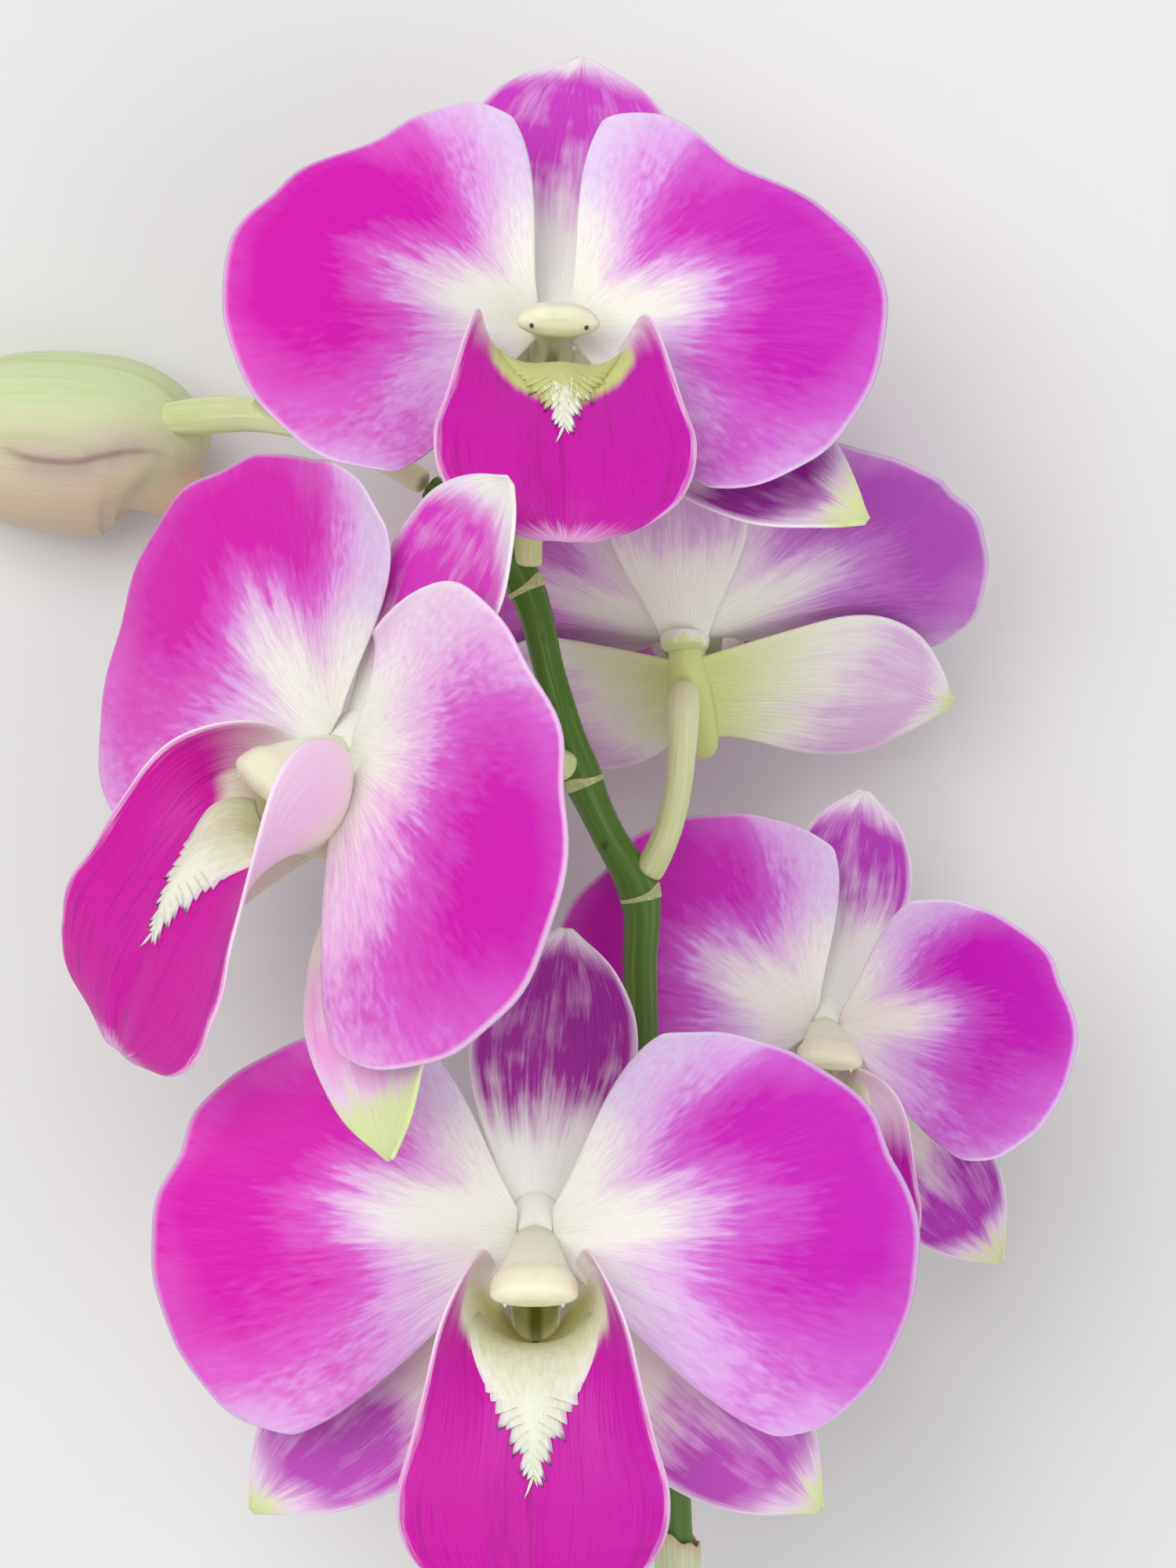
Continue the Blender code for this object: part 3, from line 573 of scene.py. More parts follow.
def lip_shape(across, share, lobes, proud=0.0):
    """A point of the lip, or as far proud of its upper side as asked."""
    _, wrap, _, further = lobes
    line = through(LIP_LINE, share)
    slope = way_along(LIP_LINE, share, 0.01, 2)
    curl = np.radians(through(LIP_CURL, share) + further * right_lobe_part(share, across))
    curl *= 1 + (wrap - 1) * lobe_part(share)
    curl = np.where(np.abs(curl) < 0.02, 0.02, curl)
    radius = lip_width(share, lobes, across) / curl
    x = radius * np.sin(curl * across)
    rise = radius * (1 - np.cos(curl * across))
    ridge, middle, length, width = LIP_RIDGE
    ridge *= np.exp(-(((share - middle) / length) ** 2))
    rise = rise + ridge * np.exp(-((x / width) ** 2)) + proud
    rim = across**6 * smooth_step(share / 0.2) + smooth_step((share - 0.86) / 0.14)
    rise += 0.2 * rim * np.sin(share * 34 + 3 * across)
    rise -= 0.5 * np.exp(-((x / 1.4) ** 2)) * smooth_step((share - 0.62) / 0.12)
    return x, line[:, 0] + rise * slope[:, 1], line[:, 1] - rise * slope[:, 0] - (1 - share) ** 8


def lip_finish(name, pale_to, wall, magenta_pink, magenta_violet, vein, rim, cream, throat_olive_and_shade, throat_shadow_line):
    """Magenta, side lobes pale as far along as asked, a pale rim, a cream wall, and an olive mouth darkened
    by painted shade.
    """
    skin = Finish(name, soft=0.1)
    streaks = skin.grain(26.0, 2.0)
    fine = skin.grain(90.0, 9.0)
    side = skin.times(skin.from_middle(), 2.0)
    wide = skin.plus(side, skin.times(streaks, 0.1))
    tint = skin.over(magenta_pink, magenta_violet, skin.x, -0.04, 0.06)
    tint = skin.over(tint, vein, skin.plus(streaks, skin.times(fine, 0.5)), 0.0, 0.3)
    ticks = skin.plus(skin.math("MAXIMUM", side, skin.along), skin.times(fine, 0.12))
    tint = skin.over(tint, rim, ticks, 0.93, 1.0, 0.75)
    lobe = skin.plus(skin.along, skin.times(streaks, 0.1))
    tint = skin.over(tint, (246, 226, 238), lobe, pale_to, pale_to - 0.16, 0.9)
    tint = skin.over(tint, (244, 236, 232), skin.along, 0.28, 0.14, 0.85)
    wall_to, lean, wall_side = wall
    inwards = skin.plus(skin.along, skin.times(side, lean), skin.times(streaks, 0.03))
    inside = skin.ease(inwards, wall_to, wall_to - 0.05)
    inside = skin.times(inside, skin.ease(wide, wall_side, wall_side - 0.12))
    # The inner wall takes the wall's colour; on the top bloom that is partly painted shade of the lip's
    # hollow.
    tint = skin.mix(inside, tint, cream)
    # Near the column the lip's mouth is olive, partly its own colour and partly painted shade of the cavity
    # under the column, with a painted shadow line down its middle.
    deep = skin.times(skin.ease(skin.along, 0.23, 0.15), skin.ease(side, 0.86, 0.62))
    tint = skin.mix(deep, tint, throat_olive_and_shade)
    tint = skin.mix(skin.times(deep, skin.ease(side, 0.09, 0.03)), tint, throat_shadow_line)
    return skin.close(tint, skin.times(skin.plus(fine, streaks), 0.5), 0.4, 0.36, 0.5)


for bloom, lobes in LIP_LOBES.items():
    lip = lay_grid(f"{bloom}_lip", 36, 44, lip_shape, bloom, lobes=lobes)
    turn_over(lip)
    face_to, back_to, *wall, wall_colour_and_shade = LIP_PALE[bloom]
    face = lip_finish(
        f"{bloom}_lip_face", face_to, wall, (204, 0, 158), (188, 0, 168), (176, 0, 142), (240, 200, 232),
        wall_colour_and_shade, (200, 198, 128), (122, 120, 42),
    )
    back = lip_finish(
        f"{bloom}_lip_back", back_to, wall, (222, 110, 196), (210, 104, 198), (214, 96, 186),
        (242, 216, 234), (238, 230, 218), (230, 228, 194), (214, 216, 160),
    )
    hand_over(lip, f"{bloom}_labellum", "labellum", face, back)
    thicken(lip, 0.45)
    round_off(lip)

# Calluses: the raised cream pad down the middle of each lip, whose margin and point are fringed with white
# teeth. A narrow grid laid just above the lip, following it, with its outline notched tooth by tooth.
CALLUS_OUTLINE = (
    (0.2, 7.0), (0.25, 7.6), (0.3, 7.4), (0.35, 6.2), (0.395, 4.9), (0.44, 3.5), (0.48, 2.3), (0.52, 1.3),
    (0.57, 0.55), (0.62, 0.08),
)
CALLUS_TEETH = 21
# How far a tooth stands out, and how far it leans towards the point (a share of the lip)
CALLUS_TOOTH = (0.9, 0.055)
# How far the pad stands above the lip at its edges, and how much more down its middle
CALLUS_PROUD = (0.3, 0.7)
CALLUS_BREADTHS = {"left_bloom": 0.74}
# Its colour near the column, and where along it that turns white
# On the top bloom that colour is yellow-green, partly the callus's own and partly painted shade of the
# lip's hollow
CALLUS_HOLLOW_SHADE_TINTS = {"top_bloom": ((200, 205, 124), 0.66, 0.82)}
CALLUS_TINT = ((222, 224, 178), 0.0, 0.7)


def callus_shape(across, along, lobes, breadth):
    first, last = CALLUS_OUTLINE[0][0], CALLUS_OUTLINE[-1][0]
    share = first + (last - first) * along
    tooth = np.abs((along * CALLUS_TEETH) % 1 - 0.5) * 2
    tooth = tooth * (0.7 + 0.3 * np.sin(along * 47 + 2 * across)) * smooth_step((along - 0.4) / 0.3)
    half = breadth * through(CALLUS_OUTLINE, share) + CALLUS_TOOTH[0] * tooth * across**2
    share += CALLUS_TOOTH[1] * across**2 * tooth
    edge, middle = CALLUS_PROUD
    proud = edge + middle * (1 - across**2) * smooth_step(along / 0.3) * smooth_step((1 - along) / 0.2)
    return lip_shape(across * half / lip_width(share, lobes, across), share, lobes, proud)


def callus_finish(name, inner, white_from, white_to):
    pad = Finish(name, soft=0.2)
    fine = pad.grain(22.0, 14.0)
    side = pad.times(pad.from_middle(), 2.0)
    # Near the column the inner tint, on the top bloom partly painted shade of the lip's hollow, gives way
    # to white
    tint = pad.over(inner, (242, 241, 218), pad.plus(pad.along, fine), white_from, white_to)
    edge = pad.ease(pad.plus(side, pad.times(fine, 0.4)), 0.7, 1.0)
    fringe = pad.times(edge, pad.ease(pad.along, white_from + 0.1, white_to))
    tint = pad.mix(fringe, tint, (250, 242, 246))
    return pad.close(tint, fine, 0.2, 0.4, 0.55)


for bloom, lobes in LIP_LOBES.items():
    breadth = CALLUS_BREADTHS.get(bloom, 1.0)
    callus = lay_grid(
        f"{bloom}_lip_callus", 10, 6 * CALLUS_TEETH, callus_shape, bloom, lobes=lobes, breadth=breadth
    )
    turn_over(callus)
    finish = callus_finish(f"{bloom}_callus", *CALLUS_HOLLOW_SHADE_TINTS.get(bloom, CALLUS_TINT))
    hand_over(callus, None, "cream", finish)
    thicken(callus, 0.3)

# Columns: the fleshy cream post at each bloom's middle, running back to the green-tipped spur, under a
# blunt two-lobed anther cap with a tooth at each lower corner. A grid rolled round and closed, then the
# teeth, drawn-out cones, joined on.
COLUMN_LINE = (
    (0.0, -13.6, -8.7, 1.0, 0.8), (0.1, -12.2, -7.9, 2.0, 1.7), (0.22, -8.6, -6.3, 2.5, 2.2),
    (0.34, -4.6, -4.4, 2.6, 2.5), (0.45, -1.2, -2.4, 2.4, 2.5), (0.55, -0.9, 0.8, 2.4, 2.0),
    (0.66, -1.8, 3.8, 3.0, 1.7), (0.78, -3.3, 6.2, 3.8, 1.8), (0.88, -4.6, 7.6, 4.2, 1.7),
    (0.96, -5.5, 8.5, 3.8, 1.2), (1.0, -5.9, 8.9, 2.6, 0.5),
)
# The teeth under the cap, the way they point, and a tooth's radius at its root and tip, and its length
COLUMN_TEETH = ((-2.9, -5.9, 8.5), (2.9, -5.9, 8.5))
TOOTH_WAY = (0.0, -1.0, 0.3)
TOOTH_SIZE = (0.42, 0.1, 0.8)


def roll_grid(name, sides, rows, shape, bloom=None, **settings):
    """A grid rolled into a closed rod: shape gives each (turn in radians, along) its place."""

    def rolled(across, along):
        return shape(math.pi * (across + 1), along, **settings)

    rod = lay_grid(name, sides, rows, rolled, bloom)
    bpy.ops.object.mode_set(mode="EDIT")
    bpy.ops.mesh.select_all(action="SELECT")
    bpy.ops.mesh.remove_doubles(threshold=0.01 * MM)
    bpy.ops.mesh.fill_holes(sides=0)
    bpy.ops.mesh.normals_make_consistent(inside=False)
    bpy.ops.mesh.select_all(action="DESELECT")
    bpy.ops.object.mode_set(mode="OBJECT")
    return rod


def column_shape(turn, along):
    line = through(COLUMN_LINE, along)
    slope = way_along(COLUMN_LINE, along, parts=2)
    height, forward, wide, deep = line.T
    cap = smooth_step((along - 0.78) / 0.03) * smooth_step((1 - along) / 0.03)
    front = np.clip(np.cos(turn), 0, 1)
    groove = np.exp(-((np.sin(turn) / 0.22) ** 2)) * front
    deep += cap * (0.5 * front**0.4 - 0.3 * groove)
    wide += 0.3 * cap
    deep *= np.cos(turn)
    return wide * np.sin(turn), height + deep * slope[:, 1], forward - deep * slope[:, 0]


def column_finish():
    flesh = Finish("column", soft=0.2)
    fine = flesh.grain(14.0, 9.0)
    clouds = flesh.cells(260.0)
    reach = flesh.plus(flesh.along, flesh.times(fine, 0.1))
    front = flesh.from_middle()
    # Below the cap the underside is olive, partly its own colour and partly painted shade of the hollow
    # under the column, with a painted shadow line down its front.
    tint = flesh.over((186, 186, 112), (226, 230, 178), reach, 0.34, 0.46)
    tint = flesh.over(tint, (122, 120, 42), front, 0.07, 0.02)
    tint = flesh.over(tint, (206, 216, 134), front, 0.2, 0.34)
    tint = flesh.over(tint, (206, 216, 134), reach, 0.17, 0.08)
    tint = flesh.over(tint, (234, 236, 212), reach, 0.45, 0.62)
    tint = flesh.over(tint, (238, 238, 206), reach, 0.74, 0.8)
    tint = flesh.over(tint, (226, 226, 192), reach, 0.95, 1.0)
    tint = flesh.over(tint, (230, 230, 190), clouds, 0.05, 0.4)
    return flesh.close(tint, flesh.plus(fine, clouds), 0.25, 0.36, 0.5)


def tooth_finish(name, tint):
    horn = Finish(name, soft=0.1)
    clouds = horn.cells(900.0)
    shade = tuple(0.88 * part for part in tint)
    return horn.close(horn.over(tint, shade, clouds, -0.3, 0.3), clouds, 0.1, 0.4, 0.5)


COLUMN_FINISH = column_finish()
TOOTH_TINTS = {"top_bloom": (104, 40, 96)}
for bloom in BLOOMS:
    column = roll_grid(f"{bloom}_column_body", 24, 44, column_shape, bloom)
    round_off(column)
    column.data.materials.append(COLUMN_FINISH)
    tip_finish = tooth_finish(f"{bloom}_column_tooth", TOOTH_TINTS.get(bloom, (240, 238, 222)))
    parts = [column]
    for tooth in COLUMN_TEETH:
        at, ahead = (in_frame(np.array(tooth) + on, bloom) for on in ((0.0, 0.0, 0.0), TOOTH_WAY))
        way = Vector(ahead - at).normalized()
        root, tip, length = (size * MM for size in TOOTH_SIZE)
        bpy.ops.mesh.primitive_cone_add(
            vertices=12, radius1=root, radius2=tip, depth=length, location=at,
            rotation=way.to_track_quat("Z", "Y").to_euler(),
        )
        bpy.ops.object.shade_smooth()
        bpy.context.active_object.data.materials.append(tip_finish)
        parts.append(bpy.context.active_object)
    bpy.ops.object.select_all(action="DESELECT")
    for part in parts:
        part.select_set(True)
    bpy.context.view_layer.objects.active = column
    bpy.ops.object.join()
    hand_over(column, f"{bloom}_column", "cream")

# Hubs: the low fleshy cushion at the back of each bloom that its petals, sepals and column all spring from.
# A grid rolled round and closed, flattened from front to back, so that it fills the middle between them.
HUB_LINE = (
    (0.0, 0.3, -1.5), (0.15, 1.6, -1.45), (0.35, 2.7, -1.1), (0.6, 3.1, -0.2), (0.85, 2.6, 0.8),
    (1.0, 0.4, 1.1),
)
# How far up its middle lies, its height as a share of its width, and how much further up and back its
# upper side runs to meet the upper sepal
HUB_RISE = 0.7
HUB_ROUND = 0.92
HUB_UPPER = (0.3, 0.34)


def hub_shape(turn, along):
    radius, forward = through(HUB_LINE, along).T
    upper = np.clip(np.cos(turn), 0, 1)
    height = HUB_RISE + radius * (HUB_ROUND * np.cos(turn) + HUB_UPPER[0] * upper)
    return radius * np.sin(turn), height, forward - HUB_UPPER[1] * radius * upper


def hub_finish():
    flesh = Finish("hub_flesh", soft=0.2)
    veins = flesh.grain(16.0, 3.0)
    clouds = flesh.cells(300.0)
    tint = flesh.over((210, 219, 150), (238, 238, 228), flesh.plus(flesh.along, veins), 0.3, 0.75)
    return flesh.close(tint, flesh.plus(veins, clouds), 0.2, 0.4, 0.55)


HUB_FINISH = hub_finish()
for bloom in BLOOMS:
    hub = roll_grid(f"{bloom}_hub", 20, 14, hub_shape, bloom)
    hand_over(hub, None, "cream", HUB_FINISH)
    round_off(hub)

# Stem: the green flower stalk, from its cut end in the foreground, under the blooms, zigzagging a little
# from node to node up to the last bud. A grid rolled round it, faintly ribbed and swollen at the nodes,
# with the cut face set in and paler.
STEM_ROUTE = (
    (-237.1, 10.0, 2.34, 2.35), (-222, 10.4, 3.0, 2.3), (-200, 11.2, 5.6, 2.25), (-170, 11.8, 11.5, 2.15),
    (-140, 11.6, 19.5, 2.05), (-112, 10.8, 26.5, 1.95), (-86, 9.8, 31.5, 1.85), (-62, 8.4, 35.0, 1.85),
    (-38, 6.2, 37.0, 1.85), (-20, 5.6, 37.5, 1.85), (-11, 5.3, 38.0, 2.0), (-5.5, 2.2, 38.4, 1.8),
    (1.3, -0.9, 39.0, 1.95), (11.5, -4.0, 39.4, 1.65), (21.5, -6.9, 39.4, 1.8), (27.5, -10.8, 38.6, 1.5),
    (32.0, -17.0, 37.0, 1.45),
)
# How far along the stem each bloom's stalk springs from it
STALK_FEET = {
    "front_bloom": -66.0, "top_bloom": 22.0, "left_bloom": 1.3, "back_bloom": -11.0, "right_bloom": -56.0,
}
# The nodes below the blooms, how far a node swells and along how much of the stem, and the stem's ribs
BARE_NODES = (-104.0, -150.0, -196.0)
NODE_SWELL = (0.28, 2.2)
STEM_RIBS = (7, 0.02)


def stem_at(along):
    """Centre, direction and radius of the stem at places along it."""
    near, here, far = (through(STEM_ROUTE, along + step) for step in (-0.5, 0.0, 0.5))
    centre = np.stack([here[:, 0], np.broadcast_to(along, here[:, 0].shape), here[:, 1]], axis=-1)
    way = np.stack([far[:, 0] - near[:, 0], np.ones(len(here)), far[:, 1] - near[:, 1]], axis=-1)
    return centre, unit(way), here[:, 2]


def round_line(centre, way, turn, radius, upwards=(0.0, 0.0, 1.0)):
    """Points round a line: each at its own turn from upwards, and its own radius."""
    side = unit(np.cross(way, upwards))
    upward = np.cross(side, way)
    points = centre + (side * np.sin(turn)[:, None] + upward * np.cos(turn)[:, None]) * radius[:, None]
    return points.T


def stem_shape(turn, along):
    start, end = STEM_ROUTE[0][0], STEM_ROUTE[-1][0]
    place = start + (end - start) * along
    centre, way, radius = stem_at(place)
    for foot in (*STALK_FEET.values(), *BARE_NODES):
        radius += NODE_SWELL[0] * np.exp(-(((place - foot) / NODE_SWELL[1]) ** 2))
    radius *= 1 + STEM_RIBS[1] * np.cos(STEM_RIBS[0] * turn + place * 0.03)
    return round_line(centre, way, turn, radius)


def stem_finish():
    bark = Finish("stem_skin", soft=0.05, sheen=0.05)
    ribs = bark.grain(22.0, 18.0)
    flecks = bark.cells(420.0)
    tint = bark.over((86, 122, 46), (74, 112, 32), bark.y, 0.02, 0.12)
    tint = bark.over(tint, (112, 146, 58), ribs, -0.05, 0.3)
    tint = bark.over(tint, (54, 86, 24), flecks, 0.12, 0.3)
    cut_end = bark.plus(bark.y, bark.times(flecks, 0.01))
    tint = bark.over(tint, (150, 160, 84), cut_end, -0.14, -0.156)
    return bark.close(tint, bark.plus(ribs, bark.times(flecks, 0.5)), 0.25, 0.34, 0.5)


def cut_finish():
    pith = Finish("stem_cut", soft=0.1, sheen=0.0)
    fibres = pith.cells(2600.0, detail=1.0)
    clouds = pith.cells(500.0)
    tint = pith.over((206, 214, 160), (180, 192, 124), clouds, -0.3, 0.3)
    tint = pith.over(tint, (132, 146, 76), fibres, 0.06, 0.2)
    return pith.close(tint, fibres, 0.2, 0.5, 0.7)


stem = roll_grid("flower_stem", 20, 200, stem_shape)
for face in stem.data.polygons:
    face.select = len(face.vertices) > 4 and face.center.y < -0.15
    face.material_index = int(face.select)
bpy.ops.object.mode_set(mode="EDIT")
bpy.ops.mesh.select_mode(type="FACE")
bpy.ops.mesh.inset(thickness=0.35 * MM)
bpy.ops.mesh.inset(thickness=0.12 * MM, depth=-0.15 * MM)
bpy.ops.object.mode_set(mode="OBJECT")
bpy.ops.object.shade_smooth_by_angle(angle=math.radians(50))
hand_over(stem, "stem", "stem", stem_finish(), cut_finish())

# Stalks: each bloom hangs on its own slender pale stalk, which leaves a node of the stem and meets the
# bloom behind its column. A grid rolled round the stalk's bow, a little ribbed, thicker at both ends.
STALK_RADII = (
    (0, 1.3), (0.14, 1.65), (0.28, 1.6), (0.43, 1.45), (0.57, 1.4), (0.71, 1.4), (0.86, 1.45), (1, 1.6),
)
# Where it meets the bloom and the way it leaves it, in the bloom's own frame, then the most that it leans
# along the stem and how deep its foot runs into it
STALK_TOP = (0.0, -0.95, -6.2)
STALK_WAY = (0.0, 0.54, -0.84)
STALK_LEAN = 0.7
STALK_SUNK = 2.3
# No stalk runs this way, so a stalk's turn is counted from it
STALK_UPWARDS = (0.31, -0.23, 0.92)
STALK_DIPS = {
    "front_bloom": 5.0, "top_bloom": 3.0, "left_bloom": 8.0, "back_bloom": 5.0, "right_bloom": 9.0,
}
STALK_BOWS = {"top_bloom": (-6.3, 31.0, 41.0), "right_bloom": (12.0, -56.0, 12.0)}


def stalk_handles(bloom):
    """The stalk's start behind the bloom, two handles that bow it, and its foot in the stem."""
    back = Vector(into_bloom(bloom, np.array(STALK_TOP)))
    away = (Vector(into_bloom(bloom, np.array(STALK_WAY))) - Vector(BLOOMS[bloom][0])).normalized()
    centre, way, radius = (part[0] for part in stem_at(np.array([STALK_FEET[bloom]])))
    place, way = Vector(centre), Vector(way)
    bow = STALK_BOWS.get(bloom)
    reach = (place - back).length
    leave = (Vector(bow) if bow else back + away * reach * 0.4) - place
    outwards = leave - way * leave.dot(way)
    lean = min(leave.dot(way) / outwards.length, STALK_LEAN) if bow else STALK_LEAN
    leave = (outwards.normalized() + way * lean).normalized()
    slant = abs(leave.dot(way))
    start = place + leave * (radius + 0.35 + 1.6 * slant) / math.sqrt(1 - slant**2)
    bow = Vector(bow or start + leave * reach * 0.3)
    handles = (back, back + away * STALK_DIPS[bloom], bow, start - leave * STALK_SUNK)
    return [np.array(handle) for handle in handles]


def stalk_shape(turn, along, handles):
    rest = 1 - along
    weights = np.stack([rest**3, 3 * rest**2 * along, 3 * rest * along**2, along**3], axis=-1)
    slopes = np.stack([
        -3 * rest**2, 3 * rest**2 - 6 * rest * along, 6 * rest * along - 3 * along**2, 3 * along**2,
    ], axis=-1)
    radius = through(STALK_RADII, along) * (1 + 0.03 * np.cos(6 * turn)) + 0.12
    return round_line(weights @ handles, unit(slopes @ handles), turn, radius, STALK_UPWARDS)


def stalk_finish():
    skin = Finish("stalk", soft=0.15)
    ribs = skin.grain(20.0, 3.0)
    clouds = skin.cells(150.0)
    tint = skin.over((226, 229, 184), (206, 216, 150), skin.plus(skin.along, clouds), 0.0, 1.0)
    tint = skin.over(tint, (236, 238, 206), ribs, 0.0, 0.3)
    return skin.close(tint, skin.plus(ribs, skin.times(clouds, 0.4)), 0.25, 0.38, 0.52)


STALK_FINISH = stalk_finish()
for bloom in BLOOMS:
    handles = np.array(stalk_handles(bloom))
    stalk = roll_grid(f"{bloom}_stalk", 16, 36, stalk_shape, handles=handles)
    round_off(stalk)
    hand_over(stalk, f"{bloom}_pedicel", "cream", STALK_FINISH)

# Node scales: the small dry scale left at each stalk's foot, a pale thin collar round the stem with a
# short point under the stalk. A grid wrapped most of the way round and drawn up to its point.
SCALE_LENGTH = 1.3
SCALE_BELOW = 1.5
SCALE_HALF_WRAP = 150
SCALE_CLEAR = 0.2


def scale_shape(across, along, foot, toward):
    turn = toward + across * math.radians(SCALE_HALF_WRAP)
    length = SCALE_LENGTH * (0.42 + 0.58 * np.exp(-((across / 0.35) ** 2)))
    centre, way, radius = stem_at(foot - SCALE_BELOW + length * along)
    away = radius + SCALE_CLEAR + 0.12 * along**2 + 0.05 * np.sin(5 * turn)
    return round_line(centre, way, turn, away)


def scale_finish():
    husk = Finish("node_scale", soft=0.1, sheen=0.1)
    fibres = husk.grain(30.0, 2.0)
    tint = husk.over((196, 202, 146), (156, 174, 98), fibres, -0.2, 0.25)
    tint = husk.over(tint, (196, 180, 130), husk.plus(husk.along, fibres), 0.7, 1.1)
    return husk.close(tint, fibres, 0.2, 0.5, 0.7)


SCALE_FINISH = scale_finish()
for bloom, foot in STALK_FEET.items():
    handles = stalk_handles(bloom)
    centre, way, radius = (part[0] for part in stem_at(np.array([foot])))
    side = np.cross(way, (0.0, 0.0, 1.0))
    side /= np.linalg.norm(side)
    lean = handles[3] - centre
    toward = math.atan2(lean @ side, lean @ np.cross(side, way))
    scale = lay_grid(f"{bloom}_node_scale", 28, 5, scale_shape, foot=foot, toward=toward)
    hand_over(scale, None, "sheath", SCALE_FINISH, SCALE_FINISH)
    thicken(scale, 0.18)
    round_off(scale)

# Sheath: a dry, papery bract that wraps the lower stem, open underneath, pale straw with fine fibres and
# a slanting, slightly flared mouth. A grid wrapped round the stem and given a paper's thickness.
SHEATH_SPAN = (-112.0, -81.5)
SHEATH_HALF_WRAP = 160
SHEATH_SLANT = 1.4
SHEATH_CLEAR = 0.42
SHEATH_FLARE = 0.2


def sheath_shape(across, along):
    turn = across * math.radians(SHEATH_HALF_WRAP)
    start, end = SHEATH_SPAN
    mouth = SHEATH_SLANT * np.sin(turn) + 0.25 * np.sin(7 * turn)
    centre, way, radius = stem_at(start + (end - start) * along - mouth * along)
    away = radius + SHEATH_CLEAR + SHEATH_FLARE * along**6 + 0.06 * np.sin(9 * turn) * along
    return round_line(centre, way, turn, away)


def sheath_finish():
    paper = Finish("sheath_paper", soft=0.1, sheen=0.1)
    fibres = paper.grain(60.0, 3.0)
    broad = paper.grain(9.0, 2.0)
    tint = paper.over((218, 222, 190), (198, 208, 158), fibres, -0.2, 0.2)
    tint = paper.over(tint, (164, 184, 116), broad, 0.0, 0.3)
    mouth = paper.plus(paper.along, paper.times(fibres, 0.1))
    tint = paper.over(tint, (208, 190, 146), mouth, 0.93, 1.0)
    return paper.close(tint, fibres, 0.25, 0.5, 0.68)


sheath = lay_grid("sheath_bract", 36, 24, sheath_shape)
paper = sheath_finish()
hand_over(sheath, "stem_sheath", "sheath", paper, paper)
thicken(sheath, 0.45)
round_off(sheath)

# Bud: the last flower, still shut, three fleshy sepals folded over each other along raised seams, with the
# spur's chin at its root. A grid rolled round it and pressed flat where it lies, then its short stalk.
BUD_LINE = (
    (0.0, -42.3, 32.6, 8.3, 0.7), (0.06, -44.6, 33.0, 8.5, 1.9), (0.13, -47.0, 34.2, 8.8, 4.0),
    (0.24, -49.4, 36.8, 9.0, 8.1), (0.34, -53.0, 38.6, 9.1, 9.9), (0.46, -58.0, 39.2, 9.1, 10.4),
    (0.58, -63.5, 39.6, 9.1, 10.2), (0.71, -69.0, 39.8, 8.9, 9.0), (0.84, -74.0, 39.8, 8.8, 6.6),
    (1.0, -79.6, 39.6, 8.5, 1.4),
)
# The fold on top runs from its side near the root, dips below the middle and ends two thirds along
BUD_FOLD = (-0.3, 6.2, 0.5)
BUD_SEAMS = (1.8, 3.9)
# How high the fold and the seams stand (shares of the bud's radius)
BUD_STEPS = (0.075, 0.035)
BUD_STALK = (
    (0, -17.65, 32.45, 36.8), (0.333, -27.0, 38.0, 30.5), (0.667, -38.0, 41.4, 20.4),
    (1, -49.2, 41.4, 14.2),
)
BUD_STALK_RADII = ((0, 1.35), (0.3, 1.5), (0.6, 1.75), (0.8, 2.1), (1, 1.7))


def bud_shape(turn, along):
    line = through(BUD_LINE, along)
    radius = line[:, 3]
    body = smooth_step(along / 0.25) * smooth_step((1 - along) / 0.12)
    lowest, bow, middle = BUD_FOLD
    fold = lowest + bow * (along - middle) ** 2
    shut = smooth_step((0.7 - along) / 0.1)
    seams = [(fold, BUD_STEPS[0] * shut)]
    seams += [(seam + 0.5 * np.sin(3 * along), BUD_STEPS[1]) for seam in BUD_SEAMS]
    for seam, height in seams:
        off = (turn - seam + math.pi) % (2 * math.pi) - math.pi
        step = np.where(off > 0, np.exp(-off * 2.6), -0.6 * np.exp(off * 7.0))
        radius *= 1 + height * body * step
    x, y, z = round_line(line[:, :3], way_along(BUD_LINE, along), turn, radius)
    return x, y, np.maximum(z, 0.0)


def bud_finish():
    skin = Finish("bud_skin", soft=0.15)
    veins = skin.grain(34.0, 1.6)
    fine = skin.grain(110.0, 3.0)
    clouds = skin.cells(70.0)
    height = skin.plus(skin.y, skin.times(skin.plus(clouds, veins), 0.006))
    tint = skin.over((212, 190, 164), (208, 222, 168), height, 0.109, 0.124)
    tint = skin.over(tint, (220, 196, 196), clouds, 0.0, 0.3, 0.5)
    lines = skin.plus(veins, skin.times(fine, 0.4))
    tint = skin.over(tint, (188, 204, 132), lines, 0.02, 0.25, 0.6)
    lowest, bow, middle = BUD_FOLD
    bent = skin.math("POWER", skin.math("ABSOLUTE", skin.plus(skin.along, -middle)), 2.0)
    off = skin.plus(skin.times(skin.across, math.pi), skin.times(bent, -bow / 2), -lowest / 2)
    off = skin.math("ABSOLUTE", skin.math("SINE", skin.plus(off, skin.times(clouds, 0.03))))
    open_part = skin.times(skin.ease(skin.along, 0.18, 0.34), skin.ease(skin.along, 0.66, 0.54))
    # Along the fold on top: a broad band of painted shade, then a narrower, darker painted shadow line
    # where one sepal laps over the other.
    for width, share, shade in ((0.26, 0.7, (192, 172, 164)), (0.038, 0.65, (146, 118, 106))):
        fold_shadow = skin.times(skin.ease(off, width, 0.0), open_part, share)
        tint = skin.mix(fold_shadow, tint, shade)
    tint = skin.over(tint, (224, 178, 140), skin.along, 0.2, 0.04)
    return skin.close(tint, lines, 0.4, 0.4, 0.55)


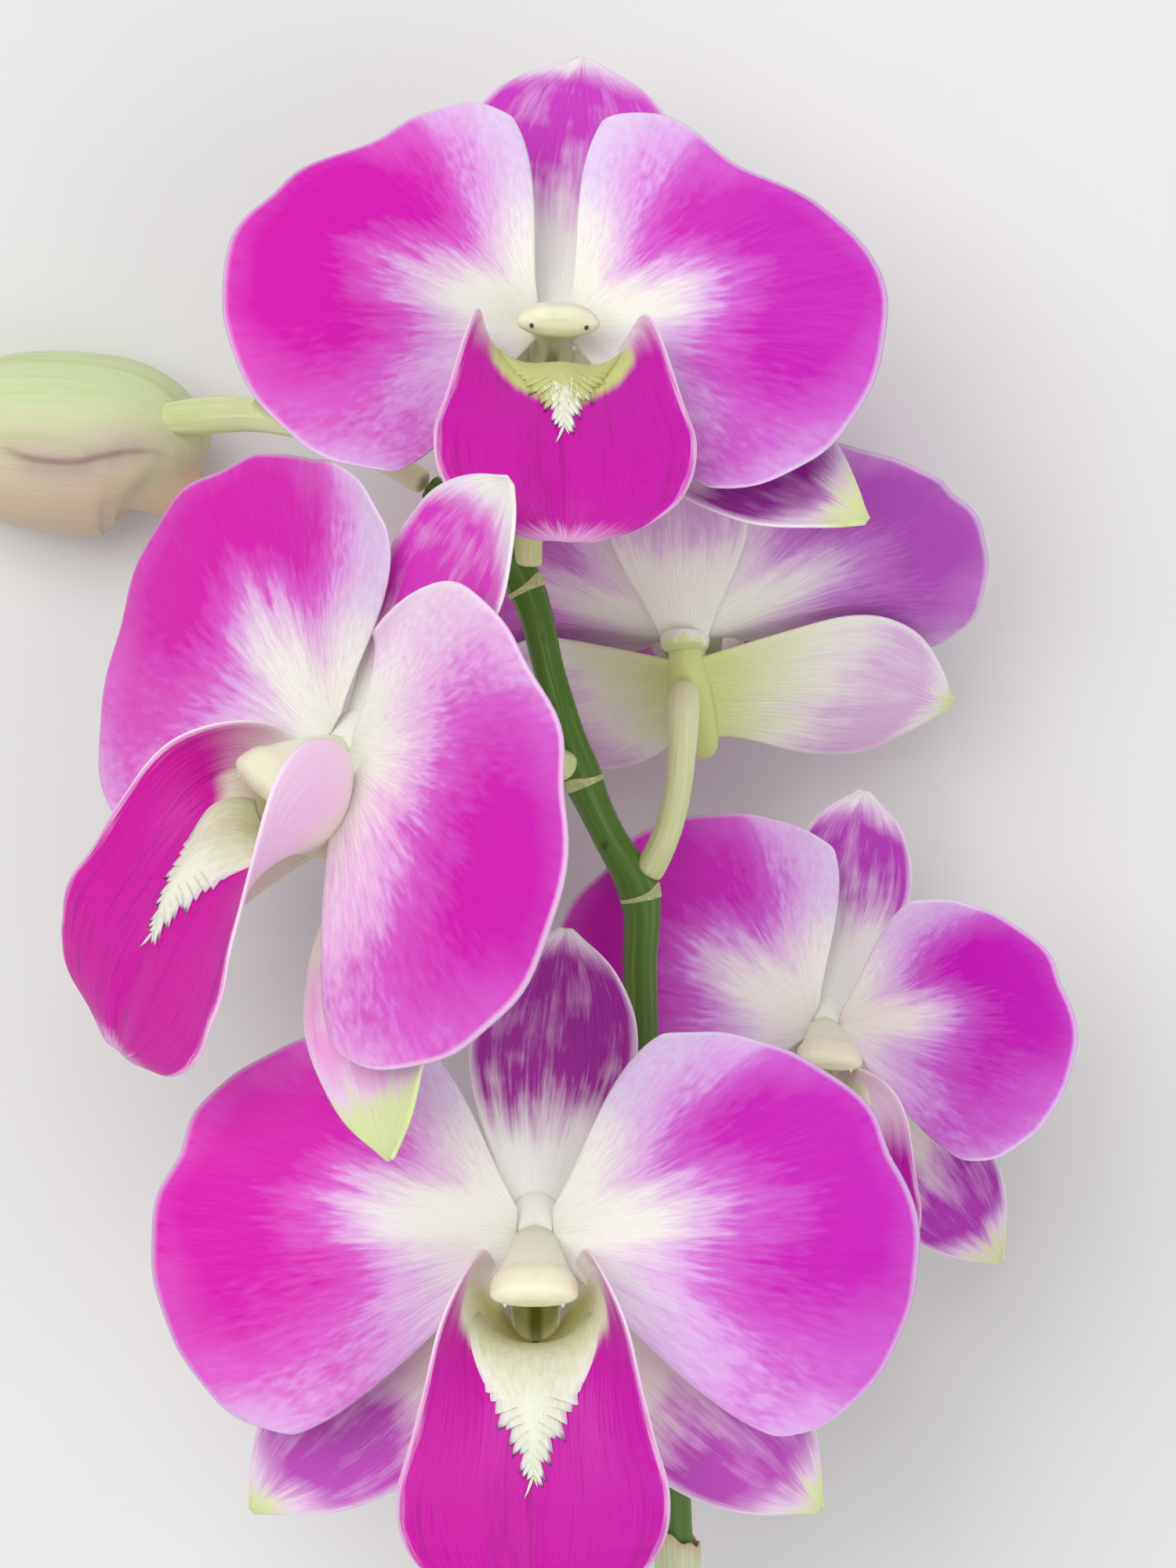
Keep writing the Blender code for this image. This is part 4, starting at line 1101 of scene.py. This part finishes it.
def bud_stalk_shape(turn, along):
    radius = through(BUD_STALK_RADII, along) * (1 + 0.03 * np.cos(6 * turn)) + 0.1
    return round_line(through(BUD_STALK, along), way_along(BUD_STALK, along), turn, radius)


bud = roll_grid("closed_bud", 48, 40, bud_shape)
round_off(bud)
hand_over(bud, "bud", "bud", bud_finish())
bud_stalk = roll_grid("closed_bud_stalk", 16, 30, bud_stalk_shape)
round_off(bud_stalk)
hand_over(bud_stalk, "bud_pedicel", "cream", STALK_FINISH)

# Setting: a plain pale floor under the spray, one large soft light from the upper left with a weaker one
# opposite, and the camera looking straight down, as in the photograph.
LIGHT_SIZE = 0.8
LIT_PLACE = (0.0, 0.05, 0.03)
bpy.ops.object.select_all(action="DESELECT")
bpy.ops.mesh.primitive_plane_add(size=3, location=(0, 0, -0.0004))
floor = bpy.context.active_object
floor.name = "floor"


def floor_finish():
    paint = Finish("floor_paint", soft=0.0, sheen=0.0)
    clouds = paint.cells(6.0, detail=4.0)
    tint = paint.over((226, 225, 222), (232, 231, 229), clouds, -0.3, 0.3)
    return paint.close(tint, clouds, 0.1, 0.7, 0.85)


floor.data.materials.append(floor_finish())

for name, place, power in (("key", (-0.32, 0.38, 0.95), 6.2), ("fill", (0.5, -0.3, 0.8), 2.6)):
    bpy.ops.object.light_add(type="AREA", location=place)
    light = bpy.context.active_object
    light.name = f"{name}_light"
    light.data.size = LIGHT_SIZE
    light.data.energy = power
    light.rotation_euler = (Vector(place) - Vector(LIT_PLACE)).to_track_quat("Z", "Y").to_euler()

world = bpy.data.worlds.new("studio")
bpy.context.scene.world = world
world.use_nodes = True
sky = world.node_tree.nodes["Background"]
sky.inputs["Color"].default_value = (0.95, 0.96, 1.0, 1.0)
sky.inputs["Strength"].default_value = 0.52

bpy.ops.object.camera_add(location=(0.0139, 0.0788, 0.460), rotation=(0, 0, 0))
camera = bpy.context.active_object
camera.name = "photo_camera"
camera.data.sensor_fit = "VERTICAL"
camera.data.sensor_height = 36.0
camera.data.lens = 90.0
bpy.context.scene.camera = camera
bpy.context.scene.view_settings.view_transform = "Standard"
